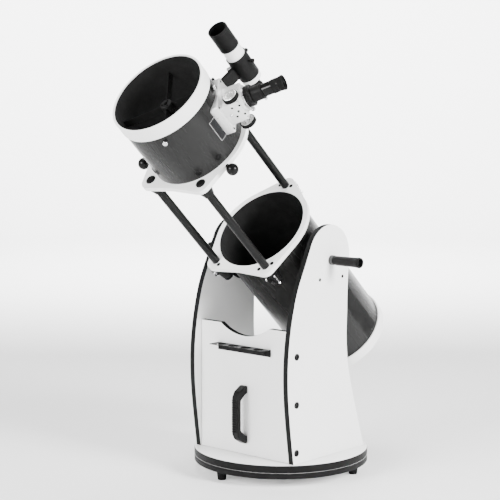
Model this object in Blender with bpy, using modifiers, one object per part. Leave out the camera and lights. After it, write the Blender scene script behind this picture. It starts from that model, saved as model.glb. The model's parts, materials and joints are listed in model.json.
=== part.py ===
"""Dobsonian telescope: a collapsing three-rod truss tube on a rocker box. Metres, +Z up.

The origin is under the middle of the whole object, on the floor. The azimuth axis stands at
STAND_X, STAND_Y. The tube points to -Y and up, at REST_DEG above the horizon.
"""
import math

import bmesh
import bpy
from mathutils import Matrix, Vector

# Driving dimensions
STAND_X, STAND_Y = -0.0035, 0.1168     # the azimuth axis
ALT_Z = 0.6707                         # height of the altitude axis
REST_DEG = 43.3                        # the tube's rest angle above the horizon
GAP = 0.0003                           # between faces that touch

FOOT_H, FOOT_R, FOOT_CIRCLE = 0.031, 0.016, 0.236
BOARD_R = 0.270                        # both round boards
GROUND_TOP, ROCKER_LOW, ROCKER_TOP = 0.049, 0.052, 0.072
PIVOT_R = 0.006
SIDE_OUT, SIDE_T = 0.1975, 0.018       # outer faces and thickness of the side boards
FRONT_Y, FRONT_TOP, NOTCH_HALF, NOTCH_R = -0.170, 0.4704, 0.097, 0.163
BOLT_R = 0.003
BOLT_SPOTS = ((-0.161, 0.3965), (-0.161, 0.2516), (-0.161, 0.1062))

TUBE_R, TUBE_WALL = 0.144, 0.0012
LOWER_END, LOWER_TOP = -0.404, 0.1295
RING_T, RING_OUT, LOBE_R, ROD_CIRCLE = 0.014, 0.160, 0.029, 0.168
LOWER_RING_TOP, UPPER_RING_TOP = 0.131, 0.5135
ROD_R, ROD_HOLE, ROD_BORE = 0.0127, 0.0130, 0.0107
ROD_ANGLES = (90.0, -54.0, -126.0)
LEVER_SIDES = (1, -1, 1)
KNOB_ANGLES = (121.5, -22.5, -157.5)
UPPER_END, UPPER_TOP = 0.4965, 0.7385
SPIDER_S, VANE_ANGLES = 0.680, (30.0, 120.0, 210.0, 300.0)

HUB_R, FLANGE_R, HUB_IN, HUB_OUT = 0.0608, 0.088, 0.150, 0.1755
POST_R, POST_SIDE, POST_DROP, CRADLE_IN = 0.016, 0.054, 0.055, 0.1765

MIRROR_R, MIRROR_LOW, MIRROR_T = 0.127, -0.361, 0.030
CELL_ANGLES, CELL_CIRCLE = (30, 150, 270), 0.092    # the collimation knobs
FOCUS_S, FOCUS_DEG = 0.610, 29.5       # where the focuser stands on the tube
SHAFT_Y, SHAFT_Z, KNOB_OFF = 0.040, 0.193, 0.052
FINDER_DEG, FINDER_AXIS_R = 71.0, 0.2525

MATERIALS = {
    "board_white": ((0.80, 0.80, 0.79), 0.45, 0.0),
    "ring_white": ((0.82, 0.82, 0.80), 0.40, 0.0),
    "tube_charcoal": ((0.045, 0.045, 0.043), 0.25, 0.4),
    "rod_black": ((0.02, 0.02, 0.02), 0.35, 0.3),
    "plastic_black": ((0.02, 0.02, 0.02), 0.50, 0.0),
    "gloss_black": ((0.01, 0.01, 0.01), 0.12, 0.0),
    "rubber_black": ((0.02, 0.02, 0.02), 0.80, 0.0),
    "chrome": ((0.75, 0.75, 0.76), 0.12, 1.0),
    "silver": ((0.70, 0.70, 0.70), 0.35, 0.8),
    "mirror": ((0.90, 0.91, 0.92), 0.03, 1.0),
}

EYE = Matrix.Identity(4)


def spin(angle, axis):
    """A rotation by an angle in degrees."""
    return Matrix.Rotation(math.radians(angle), 4, axis)


def shift(x, y, z):
    return Matrix.Translation((x, y, z))


ALONG_X = spin(90, "Y")                # turns a shape's z to +X
ALONG_MINUS_X = spin(-90, "Y")
ALONG_MINUS_Y = spin(90, "X")          # turns a shape's z to -Y
SIDE_VIEW = Matrix(((0, 0, 1, 0), (1, 0, 0, 0), (0, 1, 0, 0), (0, 0, 0, 1)))  # flat outline to Y, Z


def radial(angle, s=0.0, r=0.0):
    """A frame on the tube: x along the tube, z outward, at a place s along it and r from its axis."""
    turn = math.radians(angle)
    out = Vector((math.cos(turn), math.sin(turn), 0))
    side = Vector((math.sin(turn), -math.cos(turn), 0))
    frame = Matrix((Vector((0, 0, 1)), side, out)).transposed().to_4x4()
    frame.translation = out * r + Vector((0, 0, s))
    return frame


# Shapes, each added to a bmesh
def block(shape, low, high, place=EYE):
    low, high = Vector(low), Vector(high)
    size = high - low
    matrix = place @ Matrix.Translation((low + high) / 2) @ Matrix.Diagonal((*size, 1))
    bmesh.ops.create_cube(shape, size=1.0, matrix=matrix)


def drum(shape, radius, low, high, segments=24, place=EYE, top_radius=None):
    bmesh.ops.create_cone(
        shape, cap_ends=True, segments=segments, radius1=radius,
        radius2=radius if top_radius is None else top_radius,
        depth=high - low, matrix=place @ shift(0, 0, (low + high) / 2))


def ball(shape, radius, place, segments=16):
    bmesh.ops.create_uvsphere(shape, u_segments=segments, v_segments=segments // 2,
                              radius=radius, matrix=place)


def take(shape, obj, place):
    """Adds an object's evaluated mesh to the shape, and removes the object."""
    mesh = bpy.data.meshes.new_from_object(obj.evaluated_get(bpy.context.evaluated_depsgraph_get()))
    mesh.transform(place)
    before = set(shape.verts)
    shape.from_mesh(mesh)
    new = [vert for vert in shape.verts if vert not in before]
    bmesh.ops.remove_doubles(shape, verts=new, dist=1e-6)
    bpy.data.objects.remove(obj)
    bpy.data.meshes.remove(mesh)


def turned(shape, profile, segments=32, place=EYE):
    """Turns a profile of (radius, height) about z. It is closed unless both ends are on the axis."""
    mesh = bpy.data.meshes.new("profile")
    count = len(profile)
    edges = [(i, i + 1) for i in range(count - 1)]
    if profile[0][0] > 0:
        edges.append((count - 1, 0))
    mesh.from_pydata([(r, 0, z) for r, z in profile], edges, [])
    obj = bpy.data.objects.new("profile", mesh)
    bpy.context.scene.collection.objects.link(obj)
    screw = obj.modifiers.new("turn", "SCREW")
    screw.axis, screw.angle = "Z", math.tau
    screw.steps = screw.render_steps = segments
    screw.use_merge_vertices, screw.merge_threshold = True, 1e-5
    bpy.context.view_layer.update()
    take(shape, obj, place)


def flat(shape, outlines, low, high, place=EYE):
    """A flat plate from its outline and its holes, from height low to high."""
    curve = bpy.data.curves.new("outline", "CURVE")
    curve.dimensions, curve.fill_mode = "2D", "BOTH"
    curve.extrude = (high - low) / 2
    for points in outlines:
        spline = curve.splines.new("POLY")
        spline.points.add(len(points) - 1)
        for point, (x, y) in zip(spline.points, points):
            point.co = (x, y, 0, 1)
        spline.use_cyclic_u = True
    obj = bpy.data.objects.new("outline", curve)
    bpy.context.scene.collection.objects.link(obj)
    bpy.context.view_layer.update()
    take(shape, obj, place @ shift(0, 0, (low + high) / 2))


def circle(x, y, radius, segments=16):
    return arc(x, y, radius, 0, 360 - 360 / segments, segments - 1)


def arc(x, y, radius, start, end, steps):
    turns = [math.radians(start + (end - start) * i / steps) for i in range(steps + 1)]
    return [(x + radius * math.cos(t), y + radius * math.sin(t)) for t in turns]


def rounded(half_x, half_y, corner, steps=4):
    """A rectangle with rounded corners."""
    points = []
    for turn, (sx, sy) in enumerate(((1, 1), (-1, 1), (-1, -1), (1, -1))):
        points += arc(sx * (half_x - corner), sy * (half_y - corner), corner,
                      90 * turn, 90 * turn + 90, steps)
    return points


def smooth(points, steps):
    """A Catmull-Rom curve through the points, without its last one."""
    path = []
    ends = [points[0], *points, points[-1]]
    for a, b, c, d in zip(ends, ends[1:], ends[2:], ends[3:]):
        for i in range(steps):
            t = i / steps
            path.append(tuple(
                0.5 * (2 * q + (r - p) * t + (2 * p - 5 * q + 4 * r - s) * t * t
                       + (3 * q - p - 3 * r + s) * t ** 3)
                for p, q, r, s in zip(a, b, c, d)))
    return path


# Objects
def collection(name):
    made = bpy.data.collections.new(name)
    bpy.context.scene.collection.children.link(made)
    return made


def material(name):
    if name in bpy.data.materials:
        return bpy.data.materials[name]
    colour, roughness, metallic = MATERIALS[name]
    made = bpy.data.materials.new(name)
    made.use_nodes = True
    shader = made.node_tree.nodes["Principled BSDF"]
    shader.inputs["Base Color"].default_value = (*colour, 1)
    shader.inputs["Roughness"].default_value = roughness
    shader.inputs["Metallic"].default_value = metallic
    made.diffuse_color = (*colour, 1)
    return made


def joint_frame(name, parent, place):
    empty = bpy.data.objects.new(name, None)
    empty.empty_display_size = 0.05
    MODEL.objects.link(empty)
    empty.parent = parent
    empty.matrix_basis = place
    return empty


def solid(name, draw, slot, parent, group=None):
    """An object from a function that draws its shape in the parent's frame."""
    shape = bmesh.new()
    draw(shape)
    bmesh.ops.recalc_face_normals(shape, faces=shape.faces)
    mesh = bpy.data.meshes.new(name)
    shape.to_mesh(mesh)
    shape.free()
    mesh.shade_smooth()
    mesh.set_sharp_from_angle(angle=math.radians(35))
    obj = bpy.data.objects.new(name, mesh)
    (group or MODEL).objects.link(obj)
    obj.parent = parent
    if slot:
        mesh.materials.append(material(slot))
    return obj


def boolean(obj, draw, operation):
    """Cuts the drawn shape from the object, or joins it on, in the object's own frame."""
    name = f"{obj.name}_{operation.lower()}_{len(obj.modifiers)}"
    other = solid(name, draw, None, obj.parent, CUTTERS)
    other.hide_render = True
    other.display_type = "WIRE"
    change = obj.modifiers.new(operation.lower(), "BOOLEAN")
    change.object, change.operation, change.solver = other, operation, "EXACT"


def cut(obj, draw):
    boolean(obj, draw, "DIFFERENCE")


def join(obj, draw):
    boolean(obj, draw, "UNION")


# The ground ring, which stands still
def ground(stand):
    def board(shape):
        turned(shape, [(BOARD_R, GROUND_TOP), (BOARD_R, FOOT_H), (PIVOT_R + GAP, FOOT_H),
                       (PIVOT_R + GAP, GROUND_TOP)], 72)
    solid("ground_board", board, "board_white", stand)

    for number, angle in enumerate((-99, 21, 141), 1):
        def foot(shape, angle=angle):
            drum(shape, 0.0125, 0, FOOT_H - GAP, 24, spin(angle, "Z") @ shift(FOOT_CIRCLE, 0, 0), FOOT_R)
        solid(f"foot_{number}", foot, "rubber_black", stand)

    def cage(shape):
        low, high = GROUND_TOP + GAP, ROCKER_LOW - GAP
        turned(shape, [(0.235, high), (0.235, low), (0.165, low), (0.165, high)], 48)
    solid("roller_cage", cage, "plastic_black", stand)

    def bolt(shape):
        turned(shape, [(0, 0.092), (PIVOT_R, 0.092), (PIVOT_R, FOOT_H - GAP), (0.014, FOOT_H - GAP),
                       (0.014, 0.022), (0, 0.022)], 16)
    solid("pivot_bolt", bolt, "chrome", stand)


# The rocker box, which turns in azimuth
def side_outline():
    front = smooth([(-0.174, ROCKER_TOP + GAP), (-0.199, 0.274), (-0.1965, 0.423), (-0.166, 0.568),
                    (-0.117, 0.676), (-0.0985, 0.715)], 4)
    crown = arc(-0.008, 0.6825, 0.0955, 160, 4, 16)
    back = smooth([(0.0865, 0.672), (0.0785, 0.524), (0.086, 0.338), (0.166, ROCKER_TOP + GAP)], 4)
    return front + crown + back + [(0.166, ROCKER_TOP + GAP)]


def bolt_places():
    """The side bolts' frames, z outward."""
    return [shift(0, y, z) @ turn for turn in (ALONG_X, ALONG_MINUS_X) for y, z in BOLT_SPOTS]


RACK_LOW, RACK_HIGH, RACK_LEFT, RACK_RIGHT, RACK_FRONT = 0.386, 0.4085, -0.107, 0.105, -0.2115
RACK_SCREWS = [shift(x, 0, 0.395) @ ALONG_MINUS_Y for x in (-0.084, 0.082)]
RACK_HOLE_Y, RACK_HOLE_R, RACK_HOLE_STEP = -0.1915, 0.0163, 0.050


def rocker(stand):
    side_in = SIDE_OUT - SIDE_T

    def board(shape):
        turned(shape, [(BOARD_R, ROCKER_TOP), (BOARD_R, ROCKER_LOW), (PIVOT_R + GAP, ROCKER_LOW),
                       (PIVOT_R + GAP, ROCKER_TOP)], 72)
    solid("rocker_board", board, "board_white", stand)

    holes = [circle(y, z, BOLT_R + GAP, 8) for y, z in BOLT_SPOTS]
    holes += [circle(y, ALT_Z - POST_DROP, BOLT_R + GAP, 8) for y in (-POST_SIDE, POST_SIDE)]
    holes.append(circle(0, ALT_Z, PIVOT_R + GAP, 12))
    for name, low, high in (("side_board_left", -SIDE_OUT, -side_in),
                            ("side_board_right", side_in, SIDE_OUT)):
        def side(shape, low=low, high=high):
            flat(shape, [side_outline(), *holes], low, high, SIDE_VIEW)
        solid(name, side, "board_white", stand)

    def front(shape):
        half, low = side_in - GAP, ROCKER_TOP + GAP
        drop = math.degrees(math.asin(NOTCH_HALF / NOTCH_R))
        centre = FRONT_TOP + NOTCH_R * math.cos(math.radians(drop))
        notch = arc(0, centre, NOTCH_R, 270 + drop, 270 - drop, 12)
        outline = [(-half, low), (half, low), (half, FRONT_TOP), *notch, (-half, FRONT_TOP)]
        flat(shape, [outline], -FRONT_Y - SIDE_T, -FRONT_Y, ALONG_MINUS_Y)
    front_board = solid("front_board", front, "board_white", stand)

    def front_holes(shape):
        for place in bolt_places():
            drum(shape, BOLT_R + GAP, 0.163, 0.190, 8, place)
        for place in RACK_SCREWS:
            drum(shape, 0.002 + GAP, 0.158, 0.180, 8, place)
    cut(front_board, front_holes)

    for name, turn in (("right", ALONG_X), ("left", ALONG_MINUS_X)):
        places = [shift(0, y, ALT_Z - POST_DROP) @ turn for y in (-POST_SIDE, POST_SIDE)]
        sign = 1 if name == "right" else -1

        def plate(shape, sign=sign):
            outline = (arc(POST_SIDE, ALT_Z - POST_DROP, POST_R, -90, 90, 8)
                       + arc(-POST_SIDE, ALT_Z - POST_DROP, POST_R, 90, 270, 8))
            low, high = sorted((sign * CRADLE_IN, sign * (side_in - GAP)))
            flat(shape, [outline], low, high, SIDE_VIEW)
        cradle = solid(f"altitude_cradle_{name}", plate, "plastic_black", stand)

        def posts(shape, places=places):
            for place in places:
                drum(shape, POST_R - 0.0002, 0.1575, CRADLE_IN + 0.001, 20, place)
        join(cradle, posts)

        def screw_holes(shape, places=places):
            for place in places:
                drum(shape, BOLT_R + GAP, 0.168, 0.190, 8, place)
        cut(cradle, screw_holes)

    def rack(shape):
        back = FRONT_Y - GAP
        profile = [(back, RACK_LOW), (back, RACK_HIGH), (RACK_FRONT, RACK_HIGH),
                   (RACK_FRONT, RACK_HIGH - 0.0025), (back - 0.0025, RACK_HIGH - 0.0025),
                   (back - 0.0025, RACK_LOW)]
        flat(shape, [profile], RACK_LEFT, RACK_RIGHT, SIDE_VIEW)
    eyepiece_rack = solid("eyepiece_rack", rack, "plastic_black", stand)

    def rack_holes(shape):
        middle = (RACK_LEFT + RACK_RIGHT) / 2
        for i in range(4):
            drum(shape, RACK_HOLE_R, RACK_HIGH - 0.01, RACK_HIGH + 0.01, 20,
                 shift(middle + (i - 1.5) * RACK_HOLE_STEP, RACK_HOLE_Y, 0))
        for place in RACK_SCREWS:
            drum(shape, 0.002 + GAP, 0.165, 0.180, 8, place)
    cut(eyepiece_rack, rack_holes)

    def handle(shape):
        back = FRONT_Y - GAP
        outer = [(back, 0.109), (-0.181, 0.109), (-0.208, 0.127), (-0.2155, 0.142), (-0.2155, 0.254),
                 (-0.208, 0.269), (-0.181, 0.287), (back, 0.287)]
        inner = [(back, 0.263), (-0.179, 0.261), (-0.198, 0.246), (-0.1995, 0.240), (-0.1995, 0.156),
                 (-0.198, 0.150), (-0.179, 0.135), (back, 0.133)]
        flat(shape, [outer + inner], -0.0125, 0.0125, SIDE_VIEW)
    solid("carry_handle", handle, "plastic_black", stand)


def tension_handle(name, frame, grip_end):
    """A threaded bolt with a collar and a flared grip moulded on it. z runs out of the side board."""
    def handle(shape):
        turned(shape, [(0, grip_end - 0.014), (0.0100, grip_end - 0.014), (0.0125, grip_end),
                       (0.0150, grip_end), (0.0160, grip_end - 0.003), (0.0157, grip_end - 0.014),
                       (0.0140, grip_end - 0.040), (0.0136, 0.012), (0.0148, 0.012), (0.0148, GAP),
                       (PIVOT_R, GAP), (PIVOT_R, -0.036), (0, -0.036)], 18)
    solid(f"tension_handle_{name}", handle, "plastic_black", frame)


# The lower tube, which turns in altitude
def truss_outline():
    """The truss rings' outline: a circle with three lobes, joined by tangents."""
    reach = ROD_CIRCLE + 0.002
    lean = math.degrees(math.acos((RING_OUT - LOBE_R) / reach))
    points = []
    angles = sorted(angle % 360 for angle in ROD_ANGLES)
    for angle, after in zip(angles, [*angles[1:], angles[0] + 360]):
        turn = math.radians(angle)
        points += arc(reach * math.cos(turn), reach * math.sin(turn), LOBE_R, angle - lean, angle + lean, 8)
        free = after - lean - (angle + lean)
        if free > 1:
            steps = max(2, round(free / 6))
            points += arc(0, 0, RING_OUT, angle + lean, after - lean, steps)
        else:  # the two tangents cross before they reach the circle
            middle, away = math.radians((angle + after) / 2), math.radians(lean - (after - angle) / 2)
            cross = RING_OUT / math.cos(away)
            points.append((cross * math.cos(middle), cross * math.sin(middle)))
    return points


def rod_spots():
    turns = [math.radians(angle) for angle in ROD_ANGLES]
    return [(ROD_CIRCLE * math.cos(t), ROD_CIRCLE * math.sin(t)) for t in turns]


def truss_ring(shape, low, high):
    holes = [circle(x, y, ROD_HOLE, 20) for x, y in rod_spots()]
    flat(shape, [truss_outline(), circle(0, 0, TUBE_R + GAP, 64), *holes], low, high)


def pipe(shape, low, high, segments=64):
    inner = TUBE_R - TUBE_WALL
    turned(shape, [(TUBE_R, high), (TUBE_R, low), (inner, low), (inner, high)], segments)


CLAMP_LOW, CLAMP_HIGH = 0.062, LOWER_RING_TOP - RING_T - GAP
CLAMP_BOLT_R, CLAMP_BOLT_S = 0.193, 0.103


def lower_tube(axis):
    solid("lower_tube", lambda shape: pipe(shape, LOWER_END, LOWER_TOP), "tube_charcoal", axis)
    ring_low = LOWER_RING_TOP - RING_T
    solid("lower_truss_ring", lambda shape: truss_ring(shape, ring_low, LOWER_RING_TOP), "ring_white", axis)

    def rear(shape):
        bore = TUBE_R + GAP
        turned(shape, [(0.1495, -0.3835), (0.1502, -0.386), (0.1502, -0.416), (0.1485, -0.418),
                       (0.128, -0.418), (0.128, LOWER_END - GAP), (bore, LOWER_END - GAP),
                       (bore, -0.3835)], 56)
    solid("rear_ring", rear, "ring_white", axis)

    def frame(shape):
        low, high = LOWER_END, LOWER_END + 0.012
        turned(shape, [(0.070, high), (0.070, low), (0.045, low), (0.045, high)], 32)
    cell_frame = solid("cell_frame", frame, "plastic_black", axis)

    def arms(shape):
        low, high = LOWER_END, LOWER_END + 0.012
        for angle in CELL_ANGLES:
            block(shape, (0.058, -0.018, low + 0.0005), (0.1405, 0.018, high - 0.0005), spin(angle, "Z"))
    join(cell_frame, arms)

    def knob_holes(shape):
        for angle in CELL_ANGLES:
            drum(shape, 0.0035, LOWER_END - 0.01, LOWER_END + 0.03, 12,
                 spin(angle, "Z") @ shift(CELL_CIRCLE, 0, 0))
    cut(cell_frame, knob_holes)

    def cell(shape):
        turns = [math.radians(angle) for angle in CELL_ANGLES]
        holes = [circle(CELL_CIRCLE * math.cos(t), CELL_CIRCLE * math.sin(t), 0.0035, 12) for t in turns]
        flat(shape, [circle(0, 0, 0.122, 40), circle(0, 0, 0.030, 20), *holes], -0.3693, MIRROR_LOW - GAP)
    solid("mirror_cell", cell, "silver", axis)

    def mirror(shape):
        turned(shape, [(0, MIRROR_LOW + MIRROR_T - 0.0034), (0.045, MIRROR_LOW + MIRROR_T - 0.003),
                       (0.090, MIRROR_LOW + MIRROR_T - 0.0017), (MIRROR_R - 0.001, MIRROR_LOW + MIRROR_T),
                       (MIRROR_R, MIRROR_LOW + MIRROR_T - 0.001), (MIRROR_R, MIRROR_LOW),
                       (0, MIRROR_LOW)], 48)
    solid("primary_mirror", mirror, "mirror", axis)

    for name, turn in (("right", ALONG_X), ("left", ALONG_MINUS_X)):
        def hub(shape, turn=turn):
            turned(shape, [(0, HUB_IN), (FLANGE_R - 0.001, HUB_IN), (FLANGE_R, HUB_IN + 0.001),
                           (FLANGE_R, HUB_IN + 0.004), (HUB_R, HUB_IN + 0.004), (HUB_R, HUB_OUT),
                           (PIVOT_R + 2 * GAP, HUB_OUT), (PIVOT_R + 2 * GAP, 0.1575), (0, 0.1575)], 48, turn)
        made = solid(f"altitude_hub_{name}", hub, "plastic_black", axis)
        sign = 1 if name == "right" else -1

        def saddle(shape, sign=sign):
            low, high = sorted((sign * 0.112, sign * (HUB_IN + 0.002)))
            block(shape, (low, -0.045, -0.055), (high, 0.045, 0.055))
        join(made, saddle)
        cut(made, lambda shape: drum(shape, TUBE_R + GAP, -0.2, 0.2, 64))

    for number, angle in enumerate(ROD_ANGLES, 1):
        def clamp(shape, angle=angle):
            place = spin(angle, "Z") @ shift(ROD_CIRCLE, 0, 0)
            turned(shape, [(0.0235, CLAMP_HIGH), (0.0235, CLAMP_HIGH - 0.012), (0.0165, CLAMP_LOW),
                           (ROD_HOLE, CLAMP_LOW), (ROD_HOLE, CLAMP_HIGH)], 28, place)
        made = solid(f"truss_clamp_{number}", clamp, "plastic_black", axis)

        def ear(shape, angle=angle):
            block(shape, (ROD_CIRCLE + 0.0150, -0.0112, CLAMP_LOW + 0.028),
                  (ROD_CIRCLE + 0.0310, 0.0112, CLAMP_HIGH - 0.0005), spin(angle, "Z"))
        join(made, ear)

        def slot(shape, angle=angle):
            block(shape, (ROD_CIRCLE + 0.008, -0.001, CLAMP_LOW - 0.01), (0.21, 0.001, CLAMP_HIGH - 0.006),
                  spin(angle, "Z"))
        cut(made, slot)
        bolt_line = radial(angle, CLAMP_BOLT_S, CLAMP_BOLT_R) @ ALONG_MINUS_Y
        cut(made, lambda shape, line=bolt_line: drum(shape, 0.0025, -0.05, 0.05, 12, line))


def clamp_lever(number, frame, side):
    """A cross bolt along the frame's y, with a lever at one end that points to -x. side is the sign of its y."""
    way = EYE if side < 0 else spin(180, "X")

    def bolt(shape):
        turned(shape, [(0, 0.016), (0.005, 0.016), (0.005, 0.0115), (0.0022, 0.0115), (0.0022, -0.0115),
                       (0.0045, -0.0115), (0.0045, -0.0150), (0, -0.0150)], 12, way @ spin(-90, "X"))
    lever = solid(f"clamp_lever_{number}", bolt, "chrome", frame)
    root = way @ shift(0, -0.0138, 0)

    def arm(shape):
        drum(shape, 0.0022, 0.0, 0.031, 10, root @ spin(-90, "Y"))
    join(lever, arm)
    join(lever, lambda shape: ball(shape, 0.0042, root @ shift(-0.033, 0, 0), 12))


def collimation_knob(number, frame):
    def knob(shape):
        top = LOWER_END - GAP
        turned(shape, [(0, -0.3640), (0.003, -0.3640), (0.003, top), (0.008, top), (0.014, top - 0.006),
                       (0.014, top - 0.021), (0.012, top - 0.023), (0, top - 0.023)], 20)
    solid(f"collimation_knob_{number}", knob, "plastic_black", frame)


# The upper stage, which slides on the truss
def upper_stage(axis):
    ring_low = UPPER_RING_TOP - RING_T

    for number, (x, y) in enumerate(rod_spots(), 1):
        def rod(shape, x=x, y=y):
            high, low = UPPER_RING_TOP + 0.0035, CLAMP_LOW - GAP
            turned(shape, [(0, low + 0.012), (ROD_BORE, low + 0.012), (ROD_BORE, high), (ROD_R - 0.001, high),
                           (ROD_R, high - 0.001), (ROD_R, low), (0.0148, low), (0.0148, low - 0.009),
                           (0.0135, low - 0.011), (0, low - 0.011)], 24, shift(x, y, 0))
        solid(f"truss_rod_{number}", rod, "rod_black", axis)

    solid("upper_truss_ring", lambda shape: truss_ring(shape, ring_low, UPPER_RING_TOP), "ring_white", axis)
    tube = solid("upper_tube", lambda shape: pipe(shape, UPPER_END, UPPER_TOP), "tube_charcoal", axis)
    cut(tube, lambda shape: drum(shape, 0.032, 0.10, 0.20, 32, radial(FOCUS_DEG, FOCUS_S)))

    def front(shape):
        bore = TUBE_R + GAP
        turned(shape, [(0.1455, 0.742), (0.1468, 0.7405), (0.1468, 0.699), (0.1462, 0.698), (bore, 0.698),
                       (bore, UPPER_TOP + GAP), (0.1405, UPPER_TOP + GAP), (0.1405, 0.742)], 56)
    solid("front_ring", front, "ring_white", axis)

    spider = solid("spider", lambda shape: drum(shape, 0.018, SPIDER_S - 0.014, SPIDER_S + 0.014, 24),
                   "plastic_black", axis)

    def vanes(shape):
        reach = TUBE_R - TUBE_WALL - GAP
        for angle in VANE_ANGLES:
            block(shape, (0.010, -0.0006, SPIDER_S - 0.011), (reach, 0.0006, SPIDER_S + 0.011),
                  spin(angle, "Z"))
    join(spider, vanes)
    cut(spider, lambda shape: drum(shape, 0.0036, SPIDER_S - 0.03, SPIDER_S + 0.03, 12))

    # The secondary mirror's glass starts in a plane through the focuser's axis, at 45 degrees
    out = radial(FOCUS_DEG).to_3x3() @ Vector((0, 0, 1))
    normal = (Vector((0, 0, 1)) - out).normalized()
    slope = Matrix.Translation((0, 0, FOCUS_S)) @ normal.to_track_quat("Z", "Y").to_matrix().to_4x4()

    def holder(shape):
        turned(shape, [(0, SPIDER_S + 0.020), (0.0033, SPIDER_S + 0.020), (0.0033, 0.650), (0.026, 0.650),
                       (0.0285, 0.647), (0.0285, 0.560), (0, 0.560)], 32)
    made = solid("secondary_holder", holder, "plastic_black", axis)
    cut(made, lambda shape: block(shape, (-0.2, -0.2, -0.3), (0.2, 0.2, 0.0095), slope))

    glass = solid("secondary_mirror", lambda shape: drum(shape, 0.0315, 0.560, 0.660, 40), "mirror", axis)
    cut(glass, lambda shape: block(shape, (-0.2, -0.2, -0.3), (0.2, 0.2, 0.0), slope))
    cut(glass, lambda shape: block(shape, (-0.2, -0.2, 0.009), (0.2, 0.2, 0.3), slope))


def ball_knob(number, frame):
    """A ball on a stem, which locks the upper ring. z runs outward."""
    def stem(shape):
        turned(shape, [(0, 0.018), (0.0050, 0.018), (0.0050, 0.004), (0.0065, 0.0025), (0.0065, 0),
                       (0, 0)], 16)
    knob = solid(f"ball_knob_{number}", stem, "gloss_black", frame)
    join(knob, lambda shape: ball(shape, 0.0178, shift(0, 0, 0.0262), 16))


# The focuser. x runs along the tube, y across it, and z outward from the tube's axis
def focuser(frame):
    def base(shape):
        flat(shape, [rounded(0.053, 0.067, 0.010), circle(0, 0, 0.0305, 32)], 0.118, 0.1525)
    made = solid("focuser_base", base, "silver", frame)
    cut(made, lambda shape: drum(shape, TUBE_R + GAP, -0.2, 0.2, 64, ALONG_X))

    def body(shape):
        outline = [(0.035, 0.050), (-0.035, 0.050), (-0.035, -0.030), (-0.027, -0.038), (0.027, -0.038),
                   (0.035, -0.030)]
        flat(shape, [outline], 0.1528, 0.2065)
    made = solid("focuser_body", body, "silver", frame)
    join(made, lambda shape: drum(shape, 0.0385, 0.2045, 0.2120, 40))
    cut(made, lambda shape: drum(shape, 0.0290, 0.14, 0.23, 32))

    def spaces(shape):
        block(shape, (-0.0048, 0.020, 0.14), (0.0048, 0.0345, 0.23))
    cut(made, spaces)
    cut(made, lambda shape: drum(shape, 0.0062, -0.0055, 0.0055, 20, shift(0, SHAFT_Y, SHAFT_Z) @ ALONG_X))
    cut(made, lambda shape: drum(shape, 0.0033, -0.05, 0.05, 16, shift(0, SHAFT_Y, SHAFT_Z) @ ALONG_X))
    cut(made, lambda shape: drum(shape, 0.0028, 0.030, 0.050, 12, shift(0, 0, 0.178) @ ALONG_MINUS_Y))


def focus_knobs(frame):
    """The shaft with its pinion, and a knob on each end. x runs along the shaft."""
    def shaft(shape):
        half, rim = KNOB_OFF + 0.0075, KNOB_OFF - 0.0075
        side = [(0, half), (0.020, half), (0.0235, half - 0.003), (0.0235, rim), (0.018, rim - 0.001),
                (0.007, rim - 0.001), (0.007, 0.0365), (0.003, 0.0365), (0.003, 0.0042), (0.0055, 0.0042)]
        turned(shape, side + [(r, -z) for r, z in reversed(side)], 24, ALONG_X)
    solid("focus_shaft_and_knobs", shaft, "silver", frame)


def thumbscrew(name, frame, length, head_r=0.0065, slot="chrome"):
    """A screw whose head stands out along z, with its tip at zero."""
    def screw(shape):
        turned(shape, [(0, length), (head_r - 0.001, length), (head_r, length - 0.001),
                       (head_r, length - 0.008), (0.0024, length - 0.009), (0.0024, 0), (0, 0)], 16)
    solid(name, screw, slot, frame)


def draw_tube(frame):
    def tube(shape):
        turned(shape, [(0.0285, 0.2165), (0.0285, 0.128), (0.0262, 0.128), (0.0262, 0.2165)], 32)
    made = solid("draw_tube", tube, "chrome", frame)
    join(made, lambda shape: block(shape, (-0.0042, 0.0272, 0.1560), (0.0042, 0.0341, 0.2030)))

    def holder(shape):
        turned(shape, [(0.0205, 0.268), (0.0205, 0.2345), (0.0300, 0.2345), (0.0315, 0.233), (0.0315, 0.2168),
                       (0.0258, 0.2168), (0.0258, 0.200), (0.0162, 0.200), (0.0162, 0.268)], 32)
    made = solid("eyepiece_holder", holder, "plastic_black", frame)
    cut(made, lambda shape: drum(shape, 0.0027, 0.010, 0.05, 12, CLAMP_SCREW))


CLAMP_SCREW = shift(0, 0, 0.2255) @ spin(121, "Z") @ ALONG_X


def eyepiece(frame):
    def body(shape):
        turned(shape, [(0, 0.3245), (0.0135, 0.3245), (0.0155, 0.3345), (0.0185, 0.3345),
                       (0.0200, 0.3310), (0.0205, 0.3100), (0.0192, 0.3080), (0.0192, 0.2700),
                       (0.0180, 0.2683), (0.0158, 0.2683), (0.0158, 0.2100), (0, 0.2100)], 24)
    solid("eyepiece", body, "gloss_black", frame)


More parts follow.
